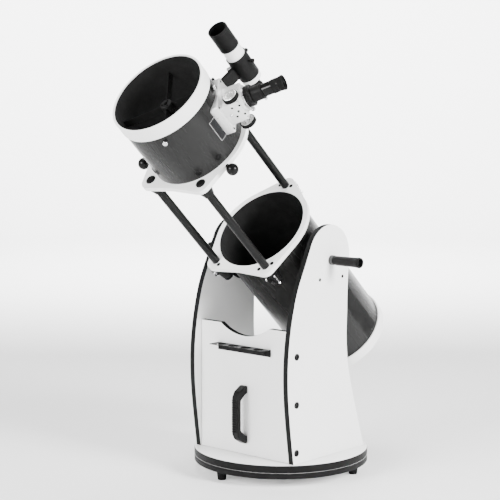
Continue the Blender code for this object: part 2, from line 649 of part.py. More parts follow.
# The finder. Its frame's x runs outward from the tube, and z along the finder
def finder(frame, stage):
    foot_low, foot_high = 0.154 - FINDER_AXIS_R, 0.1625 - FINDER_AXIS_R

    def ring(shape):
        turned(shape, [(0.0320, 0.639), (0.0320, 0.556), (0.0291, 0.556), (0.0291, 0.639)], 40)
    made = solid("finder_bracket", ring, "plastic_black", frame)
    join(made, lambda shape: block(shape, (foot_high - 0.002, -0.007, 0.575), (-0.0300, 0.007, 0.615)))
    join(made, lambda shape: block(shape, (foot_low, -0.0135, 0.566), (foot_high, 0.0135, 0.624)))

    def holes(shape):
        for place in finder_screw_places():
            drum(shape, 0.0027, 0.020, 0.040, 12, place)
    cut(made, holes)

    def tube(shape):
        turned(shape, [(0, 0.546), (0.0262, 0.546), (0.0262, 0.6745), (0.0280, 0.6745), (0.0280, 0.6395),
                       (0.0285, 0.639), (0.0285, 0.5557), (0.0305, 0.5557), (0.0305, 0.5415),
                       (0.0290, 0.540), (0.0165, 0.540), (0.0165, 0.5150), (0.0190, 0.5120),
                       (0.0190, 0.4860), (0.0165, 0.4820), (0.0100, 0.4820), (0.0080, 0.4900),
                       (0, 0.4900)], 24)
    solid("finder_tube", tube, "ring_white", frame)

    low, high = 0.562, 0.628
    place = shift(FINDER_AXIS_R * math.cos(math.radians(FINDER_DEG)),
                  FINDER_AXIS_R * math.sin(math.radians(FINDER_DEG)), 0) @ spin(FINDER_DEG, "Z")

    def shoe(shape):
        block(shape, (0.136 - FINDER_AXIS_R, -0.021, low), (0.1640 - FINDER_AXIS_R, 0.021, high), place)
    made = solid("finder_shoe", shoe, "plastic_black", stage)
    cut(made, lambda shape: block(shape, (0.1537 - FINDER_AXIS_R, -0.0138, low - 0.01),
                                  (0.2 - FINDER_AXIS_R, 0.0138, high + 0.01), place))
    cut(made, lambda shape: drum(shape, TUBE_R + GAP, 0.4, 0.8, 64))
    cut(made, lambda shape: drum(shape, 0.0027, -0.01, 0.05, 12, SHOE_SCREW))


FINDER_SCREW_ANGLES = (-65, 25)


def finder_screw_places():
    return [spin(angle, "Z") @ shift(0, 0, 0.612) @ ALONG_X for angle in FINDER_SCREW_ANGLES]


SHOE_SCREW = spin(FINDER_DEG, "Z") @ shift(0.1585, -0.0142, 0.610) @ ALONG_MINUS_Y


def dew_shield(frame):
    def shield(shape):
        turned(shape, [(0, 0.700), (0.0272, 0.700), (0.0272, 0.746), (0.0300, 0.746), (0.0300, 0.6750),
                       (0, 0.6750)], 40)
    solid("finder_dew_shield", shield, "plastic_black", frame)


def build():
    stand = joint_frame("azimuth_axis", None, shift(STAND_X, STAND_Y, 0))
    ground(stand)
    box = joint_frame("rocker_axis", stand, EYE)
    rocker(box)
    for name, sign, turn, end in (("right", 1, ALONG_X, 0.111), ("left", -1, ALONG_MINUS_X, 0.104)):
        place = shift(sign * SIDE_OUT, 0, ALT_Z) @ turn
        tension_handle(name, joint_frame(f"tension_axis_{name}", box, place), end)

    axis = joint_frame("altitude_axis", box, shift(0, 0, ALT_Z) @ spin(90 - REST_DEG, "X"))
    lower_tube(axis)
    for number, (angle, side) in enumerate(zip(ROD_ANGLES, LEVER_SIDES), 1):
        place = radial(angle, CLAMP_BOLT_S, CLAMP_BOLT_R)
        clamp_lever(number, joint_frame(f"lever_axis_{number}", axis, place), side)
    for number, angle in enumerate(CELL_ANGLES, 1):
        place = spin(angle, "Z") @ shift(CELL_CIRCLE, 0, 0)
        collimation_knob(number, joint_frame(f"knob_axis_{number}", axis, place))

    stage = joint_frame("truss_axis", axis, EYE)
    upper_stage(stage)
    for number, angle in enumerate(KNOB_ANGLES, 1):
        place = radial(angle, UPPER_RING_TOP - RING_T / 2, 0.1636)
        ball_knob(number, joint_frame(f"ball_axis_{number}", stage, place))

    focus = joint_frame("focuser_axis", stage, radial(FOCUS_DEG, FOCUS_S))
    focuser(focus)
    focus_knobs(joint_frame("focus_shaft_axis", focus, shift(0, SHAFT_Y, SHAFT_Z)))
    lock = shift(0, -0.0300, 0.178) @ ALONG_MINUS_Y
    thumbscrew("focuser_lock_screw", joint_frame("lock_axis", focus, lock), 0.020)
    drawer = joint_frame("draw_tube_axis", focus, EYE)
    draw_tube(drawer)
    screw = CLAMP_SCREW @ shift(0, 0, 0.0164)
    thumbscrew("eyepiece_clamp_screw", joint_frame("clamp_screw_axis", drawer, screw), 0.028)
    eyepiece(joint_frame("eyepiece_axis", drawer, EYE))

    turn = math.radians(FINDER_DEG)
    place = shift(FINDER_AXIS_R * math.cos(turn), FINDER_AXIS_R * math.sin(turn), 0) @ spin(FINDER_DEG, "Z")
    scope = joint_frame("finder_axis", stage, place)
    finder(scope, stage)
    dew_shield(joint_frame("finder_focus_axis", scope, EYE))
    for number, place in enumerate(finder_screw_places(), 1):
        frame = joint_frame(f"finder_screw_axis_{number}", scope, place @ shift(0, 0, 0.0290))
        thumbscrew(f"finder_screw_{number}", frame, 0.020, 0.0060, "plastic_black")
    thumbscrew("shoe_screw", joint_frame("shoe_screw_axis", stage, SHOE_SCREW), 0.022)


for old in list(bpy.data.objects):
    bpy.data.objects.remove(old, do_unlink=True)
MODEL = collection("dobsonian_telescope")
CUTTERS = collection("cutters")
build()
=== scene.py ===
"""The looks of the dobsonian telescope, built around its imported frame. Metres, +Z up.

Pieces are made in three local frames: the stand's (z up, azimuth axis at zero), the tube's
(z along the tube towards the sky, altitude axis at zero) and each small part's own.
"""
import json
import math

import bmesh
import bpy
from mathutils import Matrix, Vector


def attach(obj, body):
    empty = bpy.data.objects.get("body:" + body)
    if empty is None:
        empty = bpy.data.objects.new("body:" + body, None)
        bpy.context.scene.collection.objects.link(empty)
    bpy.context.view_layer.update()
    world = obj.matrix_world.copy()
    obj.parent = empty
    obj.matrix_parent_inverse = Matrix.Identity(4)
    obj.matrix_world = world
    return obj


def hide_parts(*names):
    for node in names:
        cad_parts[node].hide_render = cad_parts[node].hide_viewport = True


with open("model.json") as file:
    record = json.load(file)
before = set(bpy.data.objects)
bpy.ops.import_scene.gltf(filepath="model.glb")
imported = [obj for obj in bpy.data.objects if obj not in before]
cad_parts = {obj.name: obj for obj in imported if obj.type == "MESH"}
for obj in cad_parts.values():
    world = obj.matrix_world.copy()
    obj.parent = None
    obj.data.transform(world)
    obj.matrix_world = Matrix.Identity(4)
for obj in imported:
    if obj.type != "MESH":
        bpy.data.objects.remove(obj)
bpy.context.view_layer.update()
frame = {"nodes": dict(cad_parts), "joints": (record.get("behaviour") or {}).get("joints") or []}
JOINTS = {joint["name"]: joint for joint in frame["joints"]}

# Dimensions that the CAD part is driven by
GAP = 0.0003
FOOT_H, FOOT_CIRCLE = 0.031, 0.236
BOARD_R, GROUND_TOP, ROCKER_LOW, ROCKER_TOP = 0.270, 0.049, 0.052, 0.072
PIVOT_R = 0.006
SIDE_OUT, SIDE_T = 0.1975, 0.018
FRONT_Y, FRONT_TOP, NOTCH_HALF, NOTCH_R = -0.170, 0.4704, 0.097, 0.163
BOLT_SPOTS = ((-0.161, 0.3965), (-0.161, 0.2516), (-0.161, 0.1062))
TUBE_R, TUBE_WALL = 0.144, 0.0012
LOWER_END, LOWER_TOP = -0.404, 0.1295
RING_T, RING_OUT, LOBE_R, ROD_CIRCLE = 0.014, 0.160, 0.029, 0.168
LOWER_RING_TOP, UPPER_RING_TOP = 0.131, 0.5135
ROD_R, ROD_HOLE = 0.0127, 0.0130
ROD_ANGLES = (90.0, -54.0, -126.0)
KNOB_ANGLES = (121.5, -22.5, -157.5)
CELL_ANGLES, CELL_CIRCLE = (30.0, 150.0, 270.0), 0.092
UPPER_END, UPPER_TOP = 0.4965, 0.7385
SPIDER_S, VANE_ANGLES = 0.680, (30.0, 120.0, 210.0, 300.0)
HUB_R, FLANGE_R, HUB_IN, HUB_OUT = 0.0608, 0.088, 0.150, 0.1755
POST_SIDE, POST_DROP = 0.054, 0.055
RING_SCREW_R, RING_SCREW_LEAN = 0.1695, 7.4
MIRROR_R, MIRROR_LOW, MIRROR_T = 0.127, -0.361, 0.030
CLAMP_LOW, CLAMP_BOLT_R, CLAMP_BOLT_S = 0.062, 0.193, 0.103
LEVER_SIDES = (1, -1, 1)
FOCUS_S, FOCUS_DEG = 0.610, 29.5
SHAFT_Y, SHAFT_Z, KNOB_OFF = 0.040, 0.193, 0.052
FINDER_DEG, FINDER_AXIS_R = 71.0, 0.2525
FINDER_SCREW_ANGLES, FINDER_SCREW_S = (-65, 25), 0.612
SECONDARY_LOW, SECONDARY_HIGH, SECONDARY_T = 0.560, 0.650, 0.009
SHARP_ANGLE = 38  # degrees between faces above which an edge stays sharp

EYE = Matrix.Identity(4)


def spin(angle, axis):
    return Matrix.Rotation(math.radians(angle), 4, axis)


def shift(x, y, z):
    return Matrix.Translation((x, y, z))


ALONG_X, ALONG_MINUS_X, ALONG_MINUS_Y = spin(90, "Y"), spin(-90, "Y"), spin(90, "X")
SIDE_VIEW = Matrix(((0, 0, 1, 0), (1, 0, 0, 0), (0, 1, 0, 0), (0, 0, 0, 1)))

# The stand's and the tube's frames, from the joints
azimuth = Vector(JOINTS["azimuth_turn"]["pos_m"])
altitude = Vector(JOINTS["altitude_turn"]["pos_m"])
STAND = shift(azimuth.x, azimuth.y, 0)
ALT_Z = altitude.z
along = Vector(JOINTS["truss_slide"]["axis"]).normalized()
sideways = Vector((1, 0, 0))
TUBE = Matrix((sideways, along.cross(sideways), along)).transposed().to_4x4()
TUBE.translation = altitude


def radial(angle, s=0.0, r=0.0):
    """A frame on the tube: x along the tube, z outward, at a place s along it and r from its axis."""
    turn = math.radians(angle)
    out = Vector((math.cos(turn), math.sin(turn), 0))
    side = Vector((math.sin(turn), -math.cos(turn), 0))
    made = Matrix((Vector((0, 0, 1)), side, out)).transposed().to_4x4()
    made.translation = out * r + Vector((0, 0, s))
    return TUBE @ made


FOCUS = radial(FOCUS_DEG, FOCUS_S)
FINDER = TUBE @ spin(FINDER_DEG, "Z") @ shift(FINDER_AXIS_R, 0, 0)


# Materials
def nodes_of(name, colour, roughness, metallic):
    made = bpy.data.materials.new(name)
    made.use_nodes = True
    made.diffuse_color = (*colour, 1)
    tree = made.node_tree
    shader = tree.nodes["Principled BSDF"]
    shader.inputs["Base Color"].default_value = (*colour, 1)
    shader.inputs["Roughness"].default_value = roughness
    shader.inputs["Metallic"].default_value = metallic
    return made, tree, shader


def noise(tree, scale, detail=3.0, stretch=(1, 1, 1)):
    place = tree.nodes.new("ShaderNodeTexCoord")
    mapping = tree.nodes.new("ShaderNodeMapping")
    mapping.inputs["Scale"].default_value = stretch
    made = tree.nodes.new("ShaderNodeTexNoise")
    made.inputs["Scale"].default_value = scale
    made.inputs["Detail"].default_value = detail
    tree.links.new(place.outputs["Object"], mapping.inputs["Vector"])
    tree.links.new(mapping.outputs["Vector"], made.inputs["Vector"])
    return made.outputs["Fac"]


def ranged(tree, value, low, high, from_low=0.3, from_high=0.7):
    made = tree.nodes.new("ShaderNodeMapRange")
    made.inputs["From Min"].default_value = from_low
    made.inputs["From Max"].default_value = from_high
    made.inputs["To Min"].default_value = low
    made.inputs["To Max"].default_value = high
    tree.links.new(value, made.inputs["Value"])
    return made.outputs["Result"]


def mixed(tree, value, first, second):
    made = tree.nodes.new("ShaderNodeMix")
    made.data_type = "RGBA"
    tree.links.new(value, made.inputs["Factor"])
    for socket, colour in ((made.inputs["A"], first), (made.inputs["B"], second)):
        if isinstance(colour, tuple):
            socket.default_value = (*colour, 1)
        else:
            tree.links.new(colour, socket)
    return made.outputs["Result"]


def surface(name, colour, roughness, metallic=0.0, mottle=(6, 0.08), grain=(900, 0.15), rough_var=0.08,
            stretch=(1, 1, 1), wear=None, coat=0.0, coat_roughness=0.05, specular=0.5):
    """A finish with uneven colour, uneven gloss, a fine relief and wear on its edges."""
    made, tree, shader = nodes_of(name, colour, roughness, metallic)
    links = tree.links
    patches = noise(tree, mottle[0], 4.0, stretch)
    dark = tuple(c * (1 - mottle[1]) for c in colour)
    light = tuple(min(1.0, c * (1 + mottle[1])) for c in colour)
    tone = mixed(tree, ranged(tree, patches, 0, 1), dark, light)
    if wear:
        worn, low, high = wear
        geometry = tree.nodes.new("ShaderNodeNewGeometry")
        edge = ranged(tree, geometry.outputs["Pointiness"], 0, 1, low, high)
        broken = tree.nodes.new("ShaderNodeMath")
        broken.operation = "MULTIPLY"
        links.new(edge, broken.inputs[0])
        links.new(ranged(tree, noise(tree, 60, 5.0), 0, 0.8), broken.inputs[1])
        tone = mixed(tree, broken.outputs["Value"], tone, worn)
    links.new(tone, shader.inputs["Base Color"])
    smear = noise(tree, mottle[0] * 5, 6.0, stretch)
    links.new(ranged(tree, smear, max(0.02, roughness - rough_var), roughness + rough_var),
              shader.inputs["Roughness"])
    bump = tree.nodes.new("ShaderNodeBump")
    bump.inputs["Strength"].default_value = grain[1]
    bump.inputs["Distance"].default_value = 0.0004
    links.new(noise(tree, grain[0], 2.0, stretch), bump.inputs["Height"])
    links.new(bump.outputs["Normal"], shader.inputs["Normal"])
    shader.inputs["Specular IOR Level"].default_value = specular
    shader.inputs["Coat Weight"].default_value = coat
    shader.inputs["Coat Roughness"].default_value = coat_roughness
    return made


WHITE_WORN, DARK_WORN = (0.66, 0.64, 0.60), (0.10, 0.10, 0.098)
BOARD = surface("melamine_white", (0.84, 0.84, 0.835), 0.42, mottle=(3, 0.012), grain=(1400, 0.10), coat=0.12,
                coat_roughness=0.25)
BAND = surface("edge_band_black", (0.005, 0.005, 0.005), 0.45, mottle=(30, 0.25), grain=(700, 0.25),
               wear=(DARK_WORN, 0.60, 0.9), specular=0.08)
POWDER = surface("powder_white", (0.88, 0.88, 0.87), 0.38, mottle=(8, 0.012), grain=(1100, 0.35),
                 wear=(WHITE_WORN, 0.62, 0.9), coat=0.08, coat_roughness=0.2)
TUBE_PAINT = surface("tube_charcoal", (0.011, 0.011, 0.0108), 0.26, 0.0, mottle=(9, 0.12), grain=(500, 0.04),
                     rough_var=0.05, stretch=(1, 1, 0.12), specular=0.16)
INSIDE = surface("flat_black_inside", (0.0105, 0.0105, 0.0105), 0.80, mottle=(30, 0.2), grain=(600, 0.4),
                 specular=0.08)
ROD = surface("rod_satin_black", (0.005, 0.005, 0.005), 0.30, 0.0, mottle=(14, 0.2), grain=(900, 0.12),
              stretch=(1, 1, 0.05), wear=(DARK_WORN, 0.60, 0.9), specular=0.12)
PLASTIC = surface("plastic_black", (0.004, 0.004, 0.004), 0.42, mottle=(25, 0.2), grain=(1500, 0.5),
                  wear=(DARK_WORN, 0.62, 0.95), specular=0.10)
GLOSS = surface("plastic_gloss_black", (0.003, 0.003, 0.003), 0.12, mottle=(25, 0.2), grain=(400, 0.03),
                rough_var=0.04, specular=0.14)
RUBBER = surface("rubber_black", (0.005, 0.005, 0.005), 0.78, mottle=(30, 0.3), grain=(800, 0.6),
                 specular=0.08)
CHROME = surface("chrome", (0.72, 0.72, 0.73), 0.13, 1.0, mottle=(40, 0.06), grain=(300, 0.03),
                 rough_var=0.05)
SILVER = surface("cast_silver", (0.72, 0.72, 0.715), 0.34, 0.6, mottle=(20, 0.04), grain=(1200, 0.30),
                 wear=((0.88, 0.88, 0.88), 0.55, 0.75))
MACHINED = surface("machined_silver", (0.70, 0.70, 0.69), 0.25, 0.9, mottle=(60, 0.08), grain=(900, 0.2))
GREY = surface("screw_grey", (0.055, 0.055, 0.055), 0.38, 0.6, mottle=(80, 0.15), grain=(900, 0.2))
MIRROR = surface("mirror_coating", (0.90, 0.91, 0.92), 0.03, 1.0, mottle=(12, 0.01), grain=(50, 0.0),
                 rough_var=0.01)
GLASS_SIDE = surface("ground_glass_side", (0.42, 0.47, 0.46), 0.55, mottle=(20, 0.08), grain=(900, 0.4))
LENS = surface("coated_lens", (0.004, 0.010, 0.016), 0.03, mottle=(10, 0.3), grain=(50, 0.0), rough_var=0.01,
               coat=0.6, coat_roughness=0.02)
LABEL = surface("label_black", (0.006, 0.006, 0.007), 0.22, mottle=(60, 0.2), grain=(300, 0.05), specular=0.3)
FOIL = surface("label_border", (0.55, 0.55, 0.55), 0.3, 0.9, mottle=(60, 0.05), grain=(300, 0.1))
FLOOR = surface("pale_floor", (0.90, 0.90, 0.90), 0.7, mottle=(0.8, 0.008), grain=(60, 0.02), specular=0.2)


# Shapes, each added to a bmesh
def soften(profile, radius, closed, steps=3):
    """The profile with its corners rounded."""
    points = [Vector(p) for p in profile]
    count = len(points)
    path = []
    for i, corner in enumerate(points):
        if not closed and i in (0, count - 1):
            path.append(corner)
            continue
        before, after = points[i - 1], points[(i + 1) % count]
        a = corner + (before - corner).normalized() * min(radius, (before - corner).length * 0.45)
        b = corner + (after - corner).normalized() * min(radius, (after - corner).length * 0.45)
        for k in range(steps + 1):
            t = k / steps
            path.append(a * (1 - t) ** 2 + corner * 2 * t * (1 - t) + b * t * t)
    return [tuple(p) for p in path]


def turned(shape, profile, segments=96, place=EYE, radius=0.0006, ribs=None):
    """Turns a profile of (radius, height), outer side from top to bottom.

    ribs is (count, depth, low, high) for grooves cut along the outer side.
    """
    closed = profile[0][0] > 0
    path = soften(profile, radius, closed) if radius else profile
    if ribs:
        segments = ribs[0] * 6
    rings = []
    for r, z in path:
        if r < 1e-7:
            rings.append([shape.verts.new(place @ Vector((0, 0, z)))])
            continue
        ring = []
        for i in range(segments):
            turn = math.tau * i / segments
            reach = r - (ribs[1] if ribs and ribs[2] < z < ribs[3] and i % 6 in (0, 1) else 0.0)
            spot = Vector((reach * math.cos(turn), reach * math.sin(turn), z))
            ring.append(shape.verts.new(place @ spot))
        rings.append(ring)
    pairs = list(zip(rings, rings[1:])) + ([(rings[-1], rings[0])] if closed else [])
    for upper, lower in pairs:
        for i in range(segments):
            k = (i + 1) % segments
            corners = [upper[i % len(upper)], upper[k % len(upper)],
                       lower[k % len(lower)], lower[i % len(lower)]]
            unique = list(dict.fromkeys(corners))
            if len(unique) > 2:
                shape.faces.new(unique)


def block(shape, low, high, place=EYE):
    low, high = Vector(low), Vector(high)
    matrix = place @ Matrix.Translation((low + high) / 2) @ Matrix.Diagonal((*(high - low), 1))
    bmesh.ops.create_cube(shape, size=1.0, matrix=matrix)


def drum(shape, radius, low, high, segments=48, place=EYE):
    bmesh.ops.create_cone(shape, cap_ends=True, segments=segments, radius1=radius, radius2=radius,
                          depth=high - low, matrix=place @ shift(0, 0, (low + high) / 2))


def flat(shape, outlines, low, high, place=EYE):
    """A flat plate from its outline and its holes."""
    curve = bpy.data.curves.new("outline", "CURVE")
    curve.dimensions, curve.fill_mode = "2D", "BOTH"
    curve.extrude = (high - low) / 2
    for points in outlines:
        spline = curve.splines.new("POLY")
        spline.points.add(len(points) - 1)
        for point, (x, y) in zip(spline.points, points):
            point.co = (x, y, 0, 1)
        spline.use_cyclic_u = True
    obj = bpy.data.objects.new("outline", curve)
    bpy.context.scene.collection.objects.link(obj)
    bpy.context.view_layer.update()
    mesh = bpy.data.meshes.new_from_object(obj.evaluated_get(bpy.context.evaluated_depsgraph_get()))
    mesh.transform(place @ shift(0, 0, (low + high) / 2))
    before = set(shape.verts)
    shape.from_mesh(mesh)
    bmesh.ops.remove_doubles(shape, verts=[vert for vert in shape.verts if vert not in before], dist=1e-6)
    bpy.data.objects.remove(obj)
    new = [vert for vert in shape.verts if vert not in before]
    edges = list(dict.fromkeys(edge for vert in new for edge in vert.link_edges))
    bmesh.ops.dissolve_limit(shape, angle_limit=0.002, verts=new, edges=edges)


def arc(x, y, radius, start, end, steps):
    turns = [math.radians(start + (end - start) * i / steps) for i in range(steps + 1)]
    return [(x + radius * math.cos(t), y + radius * math.sin(t)) for t in turns]


def circle(x, y, radius, segments=48):
    return arc(x, y, radius, 0, 360 - 360 / segments, segments - 1)


def smooth(points, steps):
    """A Catmull-Rom curve through the points, without its last one."""
    path = []
    ends = [points[0], *points, points[-1]]
    for a, b, c, d in zip(ends, ends[1:], ends[2:], ends[3:]):
        for i in range(steps):
            t = i / steps
            path.append(tuple(
                0.5 * (2 * q + (r - p) * t + (2 * p - 5 * q + 4 * r - s) * t * t
                       + (3 * q - p - 3 * r + s) * t ** 3)
                for p, q, r, s in zip(a, b, c, d)))
    return path


# Pieces
def piece(name, draw, body, looks, place=EYE, replaces=(), bevel=0.0, pick=None,
          sharp=SHARP_ANGLE):
    """A piece that rides on a body. pick chooses a face's material by its centre and normal."""
    shape = bmesh.new()
    draw(shape)
    bmesh.ops.recalc_face_normals(shape, faces=shape.faces)
    if pick:
        shape.normal_update()
        for face in shape.faces:
            face.material_index = pick(face.calc_center_median(), face.normal)
    mesh = bpy.data.meshes.new(name)
    shape.to_mesh(mesh)
    shape.free()
    for look in looks if isinstance(looks, (list, tuple)) else [looks]:
        mesh.materials.append(look)
    mesh.shade_smooth()
    obj = bpy.data.objects.new(name, mesh)
    bpy.context.scene.collection.objects.link(obj)
    obj.matrix_world = place
    if bevel:
        round_edges(obj, bevel)
    else:
        mesh.set_sharp_from_angle(angle=math.radians(sharp))
    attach(obj, body)
    if replaces:
        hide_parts(*replaces)
    return obj


def round_edges(obj, width, segments=3):
    change = obj.modifiers.new("rounded_edges", "BEVEL")
    change.width, change.segments = width, segments
    change.limit_method, change.angle_limit = "ANGLE", math.radians(32)
    change.harden_normals = True
    change.use_clamp_overlap = True


def recut(node, body, look, bevel):
    """The CAD node's shape again, with rounded edges."""
    def draw(shape):
        shape.from_mesh(frame["nodes"][node].data)
        bmesh.ops.remove_doubles(shape, verts=shape.verts, dist=1e-6)
        bmesh.ops.dissolve_limit(shape, angle_limit=math.radians(1.5), verts=shape.verts, edges=shape.edges)
    return piece(f"{node}_finished", draw, body, look, EYE, (node,), bevel)


def keep(node, look):
    mesh = frame["nodes"][node].data
    mesh.materials.clear()
    mesh.materials.append(look)


def subtract(obj, draw):
    """Cuts the drawn shape, given in the object's own frame, out of the object's mesh."""
    shape = bmesh.new()
    draw(shape)
    bmesh.ops.recalc_face_normals(shape, faces=shape.faces)
    mesh = bpy.data.meshes.new("cutter")
    shape.to_mesh(mesh)
    shape.free()
    cutter = bpy.data.objects.new("cutter", mesh)
    bpy.context.scene.collection.objects.link(cutter)
    bpy.context.view_layer.update()
    cutter.matrix_world = obj.matrix_world
    change = obj.modifiers.new("cut", "BOOLEAN")
    change.object, change.operation, change.solver = cutter, "DIFFERENCE", "EXACT"
    bpy.context.view_layer.update()
    done = bpy.data.meshes.new_from_object(obj.evaluated_get(bpy.context.evaluated_depsgraph_get()))
    obj.modifiers.remove(change)
    obj.data = done
    bpy.data.objects.remove(cutter)
    done.set_sharp_from_angle(angle=math.radians(SHARP_ANGLE))


def cap_screw(name, place, body, head_r=0.006, height=0.0035, look=None):
    """A screw head with a hex socket, its seat at zero and z outward."""
    def head(shape):
        socket = head_r * 0.5
        turned(shape, [(0, height * 0.35), (socket, height * 0.35), (socket, height), (head_r * 0.85, height),
                       (head_r, height * 0.65), (head_r, 0), (0, 0)], 36, radius=0.0003)
    piece(name, head, body, look or PLASTIC, place)


def thumb_head(shape, low, high, radius, ribs=18):
    """A ribbed screw head about z."""
    turned(shape, [(0, high), (radius * 0.86, high), (radius, high - 0.0012), (radius, low + 0.0012),
                   (radius * 0.8, low), (0, low)], 72, radius=0.0003,
           ribs=(ribs, radius * 0.07, low + 0.0006, high - 0.0006))


def annulus(outer, inner, low, high):
    return [(outer, high), (outer, low), (inner, low), (inner, high)]


# The ground ring
def ground():
    def edge(centre, normal):
        return 0 if abs(normal.z) > 0.9 else 1
    for name, body, low, high in (("ground_board", "ground", FOOT_H, GROUND_TOP),
                                  ("rocker_board", "rocker_box", ROCKER_LOW, ROCKER_TOP)):
        piece(f"{name}_finished",
              lambda shape, low=low, high=high: turned(shape, annulus(BOARD_R, PIVOT_R + GAP, low, high), 180,
                                                       radius=0.0012),
              body, [BOARD, BAND], STAND, (name,), pick=edge)
    for number, angle in enumerate((-99, 21, 141), 1):
        def foot(shape):
            turned(shape, [(0, 0.0307), (0.0160, 0.0307), (0.0156, 0.024), (0.0125, 0.0), (0.0095, 0.0),
                           (0.0085, 0.0012), (0, 0.0012)], 64, radius=0.0012)
        piece(f"foot_{number}_finished", foot, "ground", RUBBER,
              STAND @ spin(angle, "Z") @ shift(FOOT_CIRCLE, 0, 0), (f"foot_{number}",))
    keep("roller_cage", GREY)

    # Painted shadow: a thin black ring set in the gap between the ground board and the rocker board to darken
    # it. The real stand has no part there.
    def gap_shadow_ring(shape):
        turned(shape, annulus(0.2690, 0.2610, GROUND_TOP + GAP, ROCKER_LOW - GAP), 160, radius=0.0003)
    piece("gap_shadow_ring", gap_shadow_ring, "ground", PLASTIC, STAND)

    def bolt(shape):
        turned(shape, [(0, 0.092), (PIVOT_R, 0.092), (PIVOT_R, 0.0308), (0, 0.0308)], 48)
        drum(shape, 0.0138, 0.0222, 0.0304, 6)
    piece("pivot_bolt_finished", bolt, "ground", CHROME, STAND, ("pivot_bolt",), 0.0004)

    def nut(shape):
        drum(shape, 0.0112, 0.0750, 0.0840, 6)
    piece("pivot_nut", nut, "ground", CHROME, STAND, (), 0.0005)
    piece("pivot_washer", lambda shape: turned(shape, annulus(0.018, PIVOT_R, 0.0724, 0.0748), 64),
          "ground", GREY, STAND)


# The rocker box
def side_outline():
    front = smooth([(-0.174, ROCKER_TOP + GAP), (-0.199, 0.274), (-0.1965, 0.423), (-0.166, 0.568),
                    (-0.117, 0.676), (-0.0985, 0.715)], 10)
    crown = arc(-0.008, 0.6825, 0.0955, 160, 4, 48)
    back = smooth([(0.0865, 0.672), (0.0785, 0.524), (0.086, 0.338), (0.166, ROCKER_TOP + GAP)], 10)
    return front + crown + back + [(0.166, ROCKER_TOP + GAP)]


def rocker():
    side_in = SIDE_OUT - SIDE_T
    holes = [circle(y, z, 0.0033, 16) for y, z in BOLT_SPOTS]
    holes += [circle(y, ALT_Z - POST_DROP, 0.0033, 16) for y in (-POST_SIDE, POST_SIDE)]
    holes.append(circle(0, ALT_Z, PIVOT_R + GAP, 24))
    for name, low, high in (("side_board_left", -SIDE_OUT, -side_in),
                            ("side_board_right", side_in, SIDE_OUT)):
        piece(f"{name}_finished",
              lambda shape, low=low, high=high: flat(shape, [side_outline(), *holes], low, high, SIDE_VIEW),
              "rocker_box", [BOARD, BAND], STAND, (name,), 0.0010,
              lambda centre, normal: 0 if abs(normal.x) > 0.9 else 1)

    def front(shape):
        half, low = side_in - GAP, ROCKER_TOP + GAP
        drop = math.degrees(math.asin(NOTCH_HALF / NOTCH_R))
        centre = FRONT_TOP + NOTCH_R * math.cos(math.radians(drop))
        notch = arc(0, centre, NOTCH_R, 270 + drop, 270 - drop, 40)
        outline = [(-half, low), (half, low), (half, FRONT_TOP), *notch, (-half, FRONT_TOP)]
        flat(shape, [outline], -FRONT_Y - SIDE_T, -FRONT_Y, ALONG_MINUS_Y)
    piece("front_board_finished", front, "rocker_box", [BOARD, BAND], STAND, ("front_board",),
          0.0010, lambda centre, normal: 0 if abs(normal.y) > 0.9 else 1)

    for side, turn in (("right", ALONG_X), ("left", ALONG_MINUS_X)):
        for number, (y, z) in enumerate(BOLT_SPOTS, 1):
            cap_screw(f"side_bolt_{side}_{number}", STAND @ shift(0, y, z) @ turn @ shift(0, 0, SIDE_OUT),
                      "rocker_box", 0.0102, 0.0032)
        for number, y in enumerate((-POST_SIDE, POST_SIDE), 1):
            cap_screw(f"cradle_screw_{side}_{number}",
                      STAND @ shift(0, y, ALT_Z - POST_DROP) @ turn @ shift(0, 0, SIDE_OUT), "rocker_box",
                      0.0052, 0.0012)
        recut(f"altitude_cradle_{side}", "rocker_box", PLASTIC, 0.0008)

    recut("eyepiece_rack", "rocker_box", PLASTIC, 0.0007)
    for number, x in enumerate((-0.084, 0.082), 1):
        cap_screw(f"rack_screw_{number}", STAND @ shift(x, 0, 0.395) @ ALONG_MINUS_Y @ shift(0, 0, 0.1728),
                  "rocker_box", 0.0042, 0.0018)
    handle()


def handle():
    back = FRONT_Y - GAP

    def bow(shape):
        outer = [(back, 0.109), (-0.180, 0.109), (-0.206, 0.124), (-0.2155, 0.142), (-0.2155, 0.254),
                 (-0.206, 0.272), (-0.180, 0.287), (back, 0.287)]
        inner = [(back, 0.263), (-0.179, 0.261), (-0.198, 0.246), (-0.1995, 0.240), (-0.1995, 0.156),
                 (-0.198, 0.150), (-0.179, 0.135), (back, 0.133)]
        flat(shape, [outer + inner], -0.0125, 0.0125, SIDE_VIEW)
    piece("carry_handle_finished", bow, "rocker_box", PLASTIC, STAND, ("carry_handle",),
          0.0035)

    def ribs(shape):
        for i in range(14):
            z = 0.150 + i * 0.0074
            block(shape, (-0.0115, -0.2172, z - 0.0017), (0.0115, -0.2140, z + 0.0017))
    piece("carry_handle_ribs", ribs, "rocker_box", RUBBER, STAND, (), 0.0006)
    for number, z in enumerate((0.1195, 0.2765), 1):
        cap_screw(f"handle_screw_{number}", STAND @ shift(0, 0, z) @ ALONG_MINUS_Y @ shift(0, 0, 0.1865) @
                  spin(-30 if number == 1 else 30, "X"), "rocker_box", 0.0042, 0.0015, GREY)


